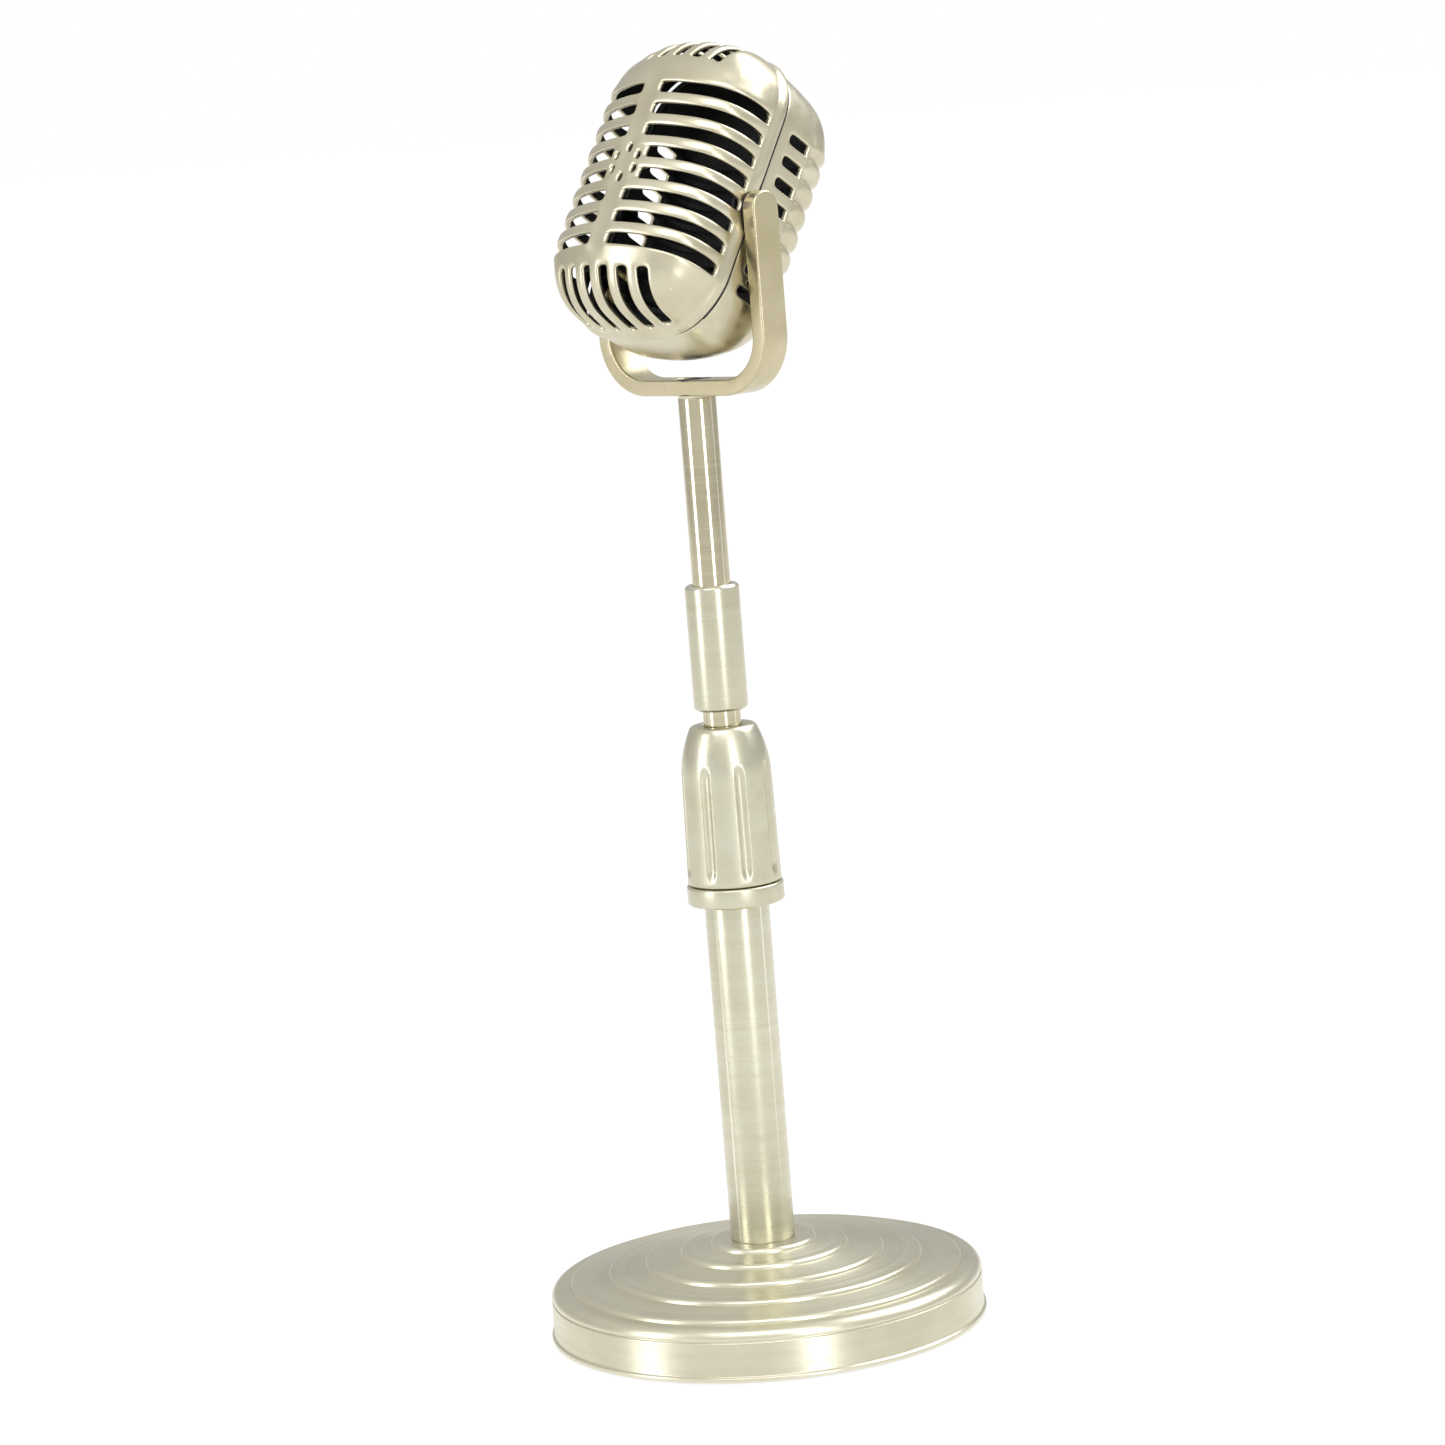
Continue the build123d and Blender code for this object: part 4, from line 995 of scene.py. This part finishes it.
class MICROPHONE_OT_head_front(bpy.types.Operator):
    """Builds the slotted front shell of the head"""

    bl_idname = "microphone.head_front"
    bl_label = "Head, front shell"

    def execute(self, context):
        settings = context.scene.microphone_head
        half = FRONT
        crown_start = box_height(half, CROWN_SLOT_START)
        chin_start = box_height(half, CHIN_SLOT_START)
        # The lines are slot edges and, between them, lines that hold the rounding.
        x_lines = mirrored([
            DASH_HALF, 1.9, BAND, DASH_OUTER, BADGE, 8.9, 12.1, 15.9, CORE_HALF_WIDTH,
            21.6, 24.2, 26.8,
        ])
        y_lines = [0.35, 1.0, 2.5, 4.05, SLOT_END] + spaced(SLOT_END, half.depth, 2.8)
        y_lines = [-v for v in y_lines]
        z_lines = row_lines()
        dashes = (ROW_MIDDLE + DASH_HEIGHTS[1], ROW_MIDDLE - DASH_HEIGHTS[1])
        z_lines += [v for v in dashes if all(abs(v - z) > 0.1 for z in z_lines)]
        z_lines += spaced(CORE_HIGH, half.top, 3.0, (crown_start, crown_start + 1.8))
        z_lines += spaced(CORE_LOW, half.bottom, 3.0, (chin_start, chin_start - 1.8))
        bm = head_cage(half, x_lines, y_lines, z_lines)

        opened, slots = [], []
        for face in bm.faces:
            spot = face.calc_center_median()
            if front_open(half, spot, crown_start, chin_start):
                opened.append(face)
            elif close_to(-spot.y, half.depth) and badge_open(spot):
                slots.append(face)
        bmesh.ops.delete(bm, geom=opened + slots, context="FACES")

        crown, ridge = settings.bar_crown / MM, settings.ridge / MM
        for vert in bm.verts:
            place = vert.co.copy()
            on_wall = CORE_LOW - 0.1 < place.z < CORE_HIGH + 0.1
            edge_of_slot = any(close_to(abs(place.z - row), ROW_HALF) for row in ROWS)
            lift = 0.0
            if on_wall and close_to(-place.y, half.depth) and abs(place.x) < BAND + 0.1:
                lift = ridge * (abs(place.x) / BAND) ** 2
            elif on_wall and not edge_of_slot and abs(place.y) > SLOT_END + 0.1:
                lift = crown
            vert.co = onto_form(half, place)
            away = Vector((vert.co.x, vert.co.y + half.flat, 0)).normalized()
            if 0.3 < -place.y < SLOT_END - 1.0:
                away = seam_outward(vert.co)
                clear = min(max((abs(place.z) - 6.0) / 3.0, 0.0), 1.0)
                height = RIM_BEAD if -place.y < 3.0 else -RIM_FLUTE
                lift = height * (clear if close_to(abs(place.x), half.width) else 1.0)
            vert.co += away * lift
        pivot_seat(bm, half)
        bmesh.ops.translate(bm, vec=(0, SEAM_OVERLAP, 0), verts=bm.verts)
        extras = tongue_and_lugs(half, settings.wall / MM)
        piece = shell_piece(bm, "head_front_shell", settings.wall, FRONT_SEAM_SHADE, extras)
        stand_for(piece, "head", ["front_shell"])
        return {"FINISHED"}


class MICROPHONE_OT_head_rear(bpy.types.Operator):
    """Builds the slotted rear shell of the head"""

    bl_idname = "microphone.head_rear"
    bl_label = "Head, rear shell"

    def execute(self, context):
        settings = context.scene.microphone_head
        half = REAR
        x_lines = mirrored([
            1.9, BAND, 5.5, 8.9, 12.1, 15.6, CORE_HALF_WIDTH, 21.6, 24.2, 26.8,
        ])
        y_lines = [
            SEAM_STEP, 1.3, 2.5, 4.05, SIDE_SLOT_FRONT, 8.7, CASE_SCREW_BACK, 11.9,
            SIDE_SLOT_BACK, GROOVE_START, half.flat,
        ]
        y_lines += spaced(half.flat, half.depth, 2.6)
        z_lines = row_lines() + [row + side * GROOVE_LINE for row in ROWS for side in (1, -1)]
        z_lines += [CASE_SCREW_HEIGHT + side * CASE_SCREW_HALF_LINE for side in (-1, 0, 1)]
        z_lines += spaced(CORE_HIGH, half.top, 3.4)
        z_lines += spaced(CORE_LOW, half.bottom, 3.4)
        bm = head_cage(half, x_lines, y_lines, z_lines)
        opened = [f for f in bm.faces if rear_open(half, f.calc_center_median())]
        bmesh.ops.delete(bm, geom=opened, context="FACES")
        crown = settings.bar_crown / MM
        for vert in bm.verts:
            place = vert.co.copy()
            on_wall = CORE_LOW - 0.1 < place.z < CORE_HIGH + 0.1
            edge_of_slot = any(close_to(abs(place.z - row), ROW_HALF) for row in ROWS)
            vert.co = onto_form(half, place)
            away = Vector((vert.co.x, max(vert.co.y - half.flat, 0.0), 0)).normalized()
            if in_groove(half, place):
                vert.co -= away * GROOVE_DEPTH
            elif on_wall and not edge_of_slot and place.y > GROOVE_START + 0.5:
                vert.co += away * crown
            if place.y < SEAM_STEP + 0.1:
                vert.co -= seam_outward(vert.co) * SEAM_BEVEL
            if close_to(place.y, SIDE_SLOT_FRONT):
                from_row = min(abs(place.z - row) for row in ROWS)
                vert.co.y += 0.9 if close_to(from_row, ROW_HALF) else 0.0
                vert.co.y += 0.3 if close_to(from_row, GROOVE_LINE) else 0.0
        pivot_seat(bm, half)
        window = CASE_SCREW_HALF_LINE
        low, high = CASE_SCREW_HEIGHT - window, CASE_SCREW_HEIGHT + window
        spot = (CASE_SCREW_BACK, CASE_SCREW_HEIGHT)
        round_hole(bm, half, spot, CASE_SCREW_HOLE, CASE_SCREW_REACH, low, high)
        bmesh.ops.translate(bm, vec=(0, -SEAM_OVERLAP, 0), verts=bm.verts)
        piece = shell_piece(bm, "head_rear_shell", settings.wall, REAR_SEAM_SHADE, [])
        stand_for(piece, "head", ["rear_shell"])
        return {"FINISHED"}


# ---------------------------------------------------------------- stage
CAMERA_TURN = math.radians(44.5)
CAMERA_DISTANCE = 1.4
CAMERA_HEIGHT = 0.39935
CAMERA_PITCH = math.radians(8.308)
CAMERA_ROLL = math.radians(-4.525)
LIGHT_DISTANCE = 1.7
LIGHT_TARGET = UP * 0.22
LIGHT_TINT = "F1F5FF"
# Strength of the white room behind the object and round the camera, and its rise upwards.
ROOM_BACK, ROOM_FRONT, ROOM_RISE = 0.5, 0.8, 0.3
# Name, turn and elevation in degrees, width and height in metres, power in watts.
SOFTBOXES = (
    ("left_strip", -66, 14, 0.5, 1.3, 7.5),
    ("right_softbox", 112, 46, 1.4, 1.2, 19.0),
    ("right_strip", 24, 14, 0.36, 1.3, 6.6),
    ("front_sheet", -8, 54, 1.3, 0.8, 8.5),
)


def towards_camera(offset_degrees=0.0):
    """Level direction from the stand to the camera, turned to the camera's right."""
    turn = CAMERA_TURN + math.radians(offset_degrees)
    return Vector((math.sin(turn), -math.cos(turn), 0))


def add_camera(lens):
    data = bpy.data.cameras.new("studio_camera")
    data.lens = lens
    data.sensor_width = 36.0
    data.clip_end = 200.0
    camera = bpy.data.objects.new("studio_camera", data)
    bpy.context.scene.collection.objects.link(camera)
    out = towards_camera()
    look = (-out * math.cos(CAMERA_PITCH) - UP * math.sin(CAMERA_PITCH)).normalized()
    turn = look.to_track_quat("-Z", "Y").to_matrix().to_4x4()
    place = Matrix.Translation(out * CAMERA_DISTANCE + UP * CAMERA_HEIGHT)
    camera.matrix_world = place @ turn @ Matrix.Rotation(CAMERA_ROLL, 4, "Z")
    bpy.context.scene.camera = camera


def add_softbox(name, turn, elevation, width, height, power):
    """A rectangular soft light that faces the middle of the stand."""
    data = bpy.data.lights.new(name, "AREA")
    data.shape = "RECTANGLE"
    data.size = width
    data.size_y = height
    data.energy = power
    data.color = linear(LIGHT_TINT)[:3]
    light = bpy.data.objects.new(name, data)
    bpy.context.scene.collection.objects.link(light)
    rise = math.radians(elevation)
    direction = towards_camera(turn) * math.cos(rise) + UP * math.sin(rise)
    place = LIGHT_TARGET + direction * LIGHT_DISTANCE
    aim = (LIGHT_TARGET - place).to_track_quat("-Z", "Y").to_matrix().to_4x4()
    light.matrix_world = Matrix.Translation(place) @ aim


def add_world():
    """White studio: plain white behind the object, a little dimmer round the camera."""
    world = bpy.data.worlds.new("white_studio")
    world.use_nodes = True
    bpy.context.scene.world = world
    tree = world.node_tree
    tree.nodes.clear()
    direction = add_node(tree, "ShaderNodeTexCoord").outputs["Generated"]
    side = add_node(
        tree, "ShaderNodeVectorMath", {0: direction, 1: towards_camera(-10)},
        operation="DOT_PRODUCT",
    ).outputs["Value"]
    level = ranged(tree, side, -1.0, 1.0, ROOM_BACK, ROOM_FRONT)
    parts = add_node(tree, "ShaderNodeSeparateXYZ", {0: direction})
    rise = ranged(tree, parts.outputs["Z"], 0.0, 1.0, 0.0, ROOM_RISE)
    total = add_node(tree, "ShaderNodeMath", {0: level, 1: rise}, operation="ADD").outputs[0]
    path = add_node(tree, "ShaderNodeLightPath").outputs["Is Camera Ray"]
    strength = add_node(
        tree, "ShaderNodeMix", {0: path, 2: total, 3: 1.0}, data_type="FLOAT",
    ).outputs[0]
    background = add_node(
        tree, "ShaderNodeBackground", {"Color": linear("FFFFFF"), "Strength": strength}
    )
    add_node(tree, "ShaderNodeOutputWorld", {"Surface": background.outputs[0]})


class MICROPHONE_OT_stage(bpy.types.Operator):
    """Sets up the pale floor, the soft studio light and the camera"""

    bl_idname = "microphone.stage"
    bl_label = "Stage"

    def execute(self, context):
        stage = context.scene.microphone_stage
        bm = bmesh.new()
        bmesh.ops.create_circle(bm, cap_ends=True, segments=96, radius=stage.floor_radius / MM)
        # Opal acrylic light table: matt, even and almost without shadow.
        acrylic = plain_surface("opal_acrylic", "7E7E7D", "7B7B7A", 0.85, 2.0, 0.02)
        glow = acrylic.node_tree.nodes["Principled BSDF"]
        glow.inputs["Emission Color"].default_value = linear("FFFFFF")
        glow.inputs["Emission Strength"].default_value = 0.8
        floor = new_piece(bm, "floor_sheet", [acrylic])
        add_world()
        for softbox in SOFTBOXES:
            add_softbox(*softbox)
        add_camera(stage.lens)
        context.scene.view_settings.view_transform = "Standard"
        return {"FINISHED"}


# ---------------------------------------------------------------- panel and registration
class MICROPHONE_PT_panel(bpy.types.Panel):
    """Lists the steps that build the microphone"""

    bl_idname = "MICROPHONE_PT_panel"
    bl_label = "Retro desk microphone"
    bl_space_type = "VIEW_3D"
    bl_region_type = "UI"
    bl_category = "Microphone"

    def draw(self, context):
        layout = self.layout
        for name, group in SETTINGS.items():
            box = layout.box()
            for key in group.__annotations__:
                box.prop(getattr(context.scene, name), key)
        for operator in OPERATORS:
            layout.operator(operator.bl_idname)


SETTINGS = {
    "microphone_head": MicrophoneHeadSettings,
    "microphone_stand": MicrophoneStandSettings,
    "microphone_finish": MicrophoneFinishSettings,
    "microphone_stage": MicrophoneStageSettings,
}
OPERATORS = (
    MICROPHONE_OT_finishes,
    MICROPHONE_OT_base,
    MICROPHONE_OT_stand,
    MICROPHONE_OT_clutch,
    MICROPHONE_OT_yoke,
    MICROPHONE_OT_head_front,
    MICROPHONE_OT_head_rear,
    MICROPHONE_OT_stage,
)
CLASSES = (*SETTINGS.values(), *OPERATORS, MICROPHONE_PT_panel)


def register():
    for cls in CLASSES:
        bpy.utils.register_class(cls)
    for name, group in SETTINGS.items():
        setattr(bpy.types.Scene, name, bpy.props.PointerProperty(type=group))


def unregister():
    for name in SETTINGS:
        delattr(bpy.types.Scene, name)
    for cls in reversed(CLASSES):
        bpy.utils.unregister_class(cls)


def main():
    """Registers the add-on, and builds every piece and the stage."""
    register()
    for operator in OPERATORS:
        step = operator.bl_idname.split(".")[1]
        getattr(bpy.ops.microphone, step)()


if __name__ == "__main__":
    main()
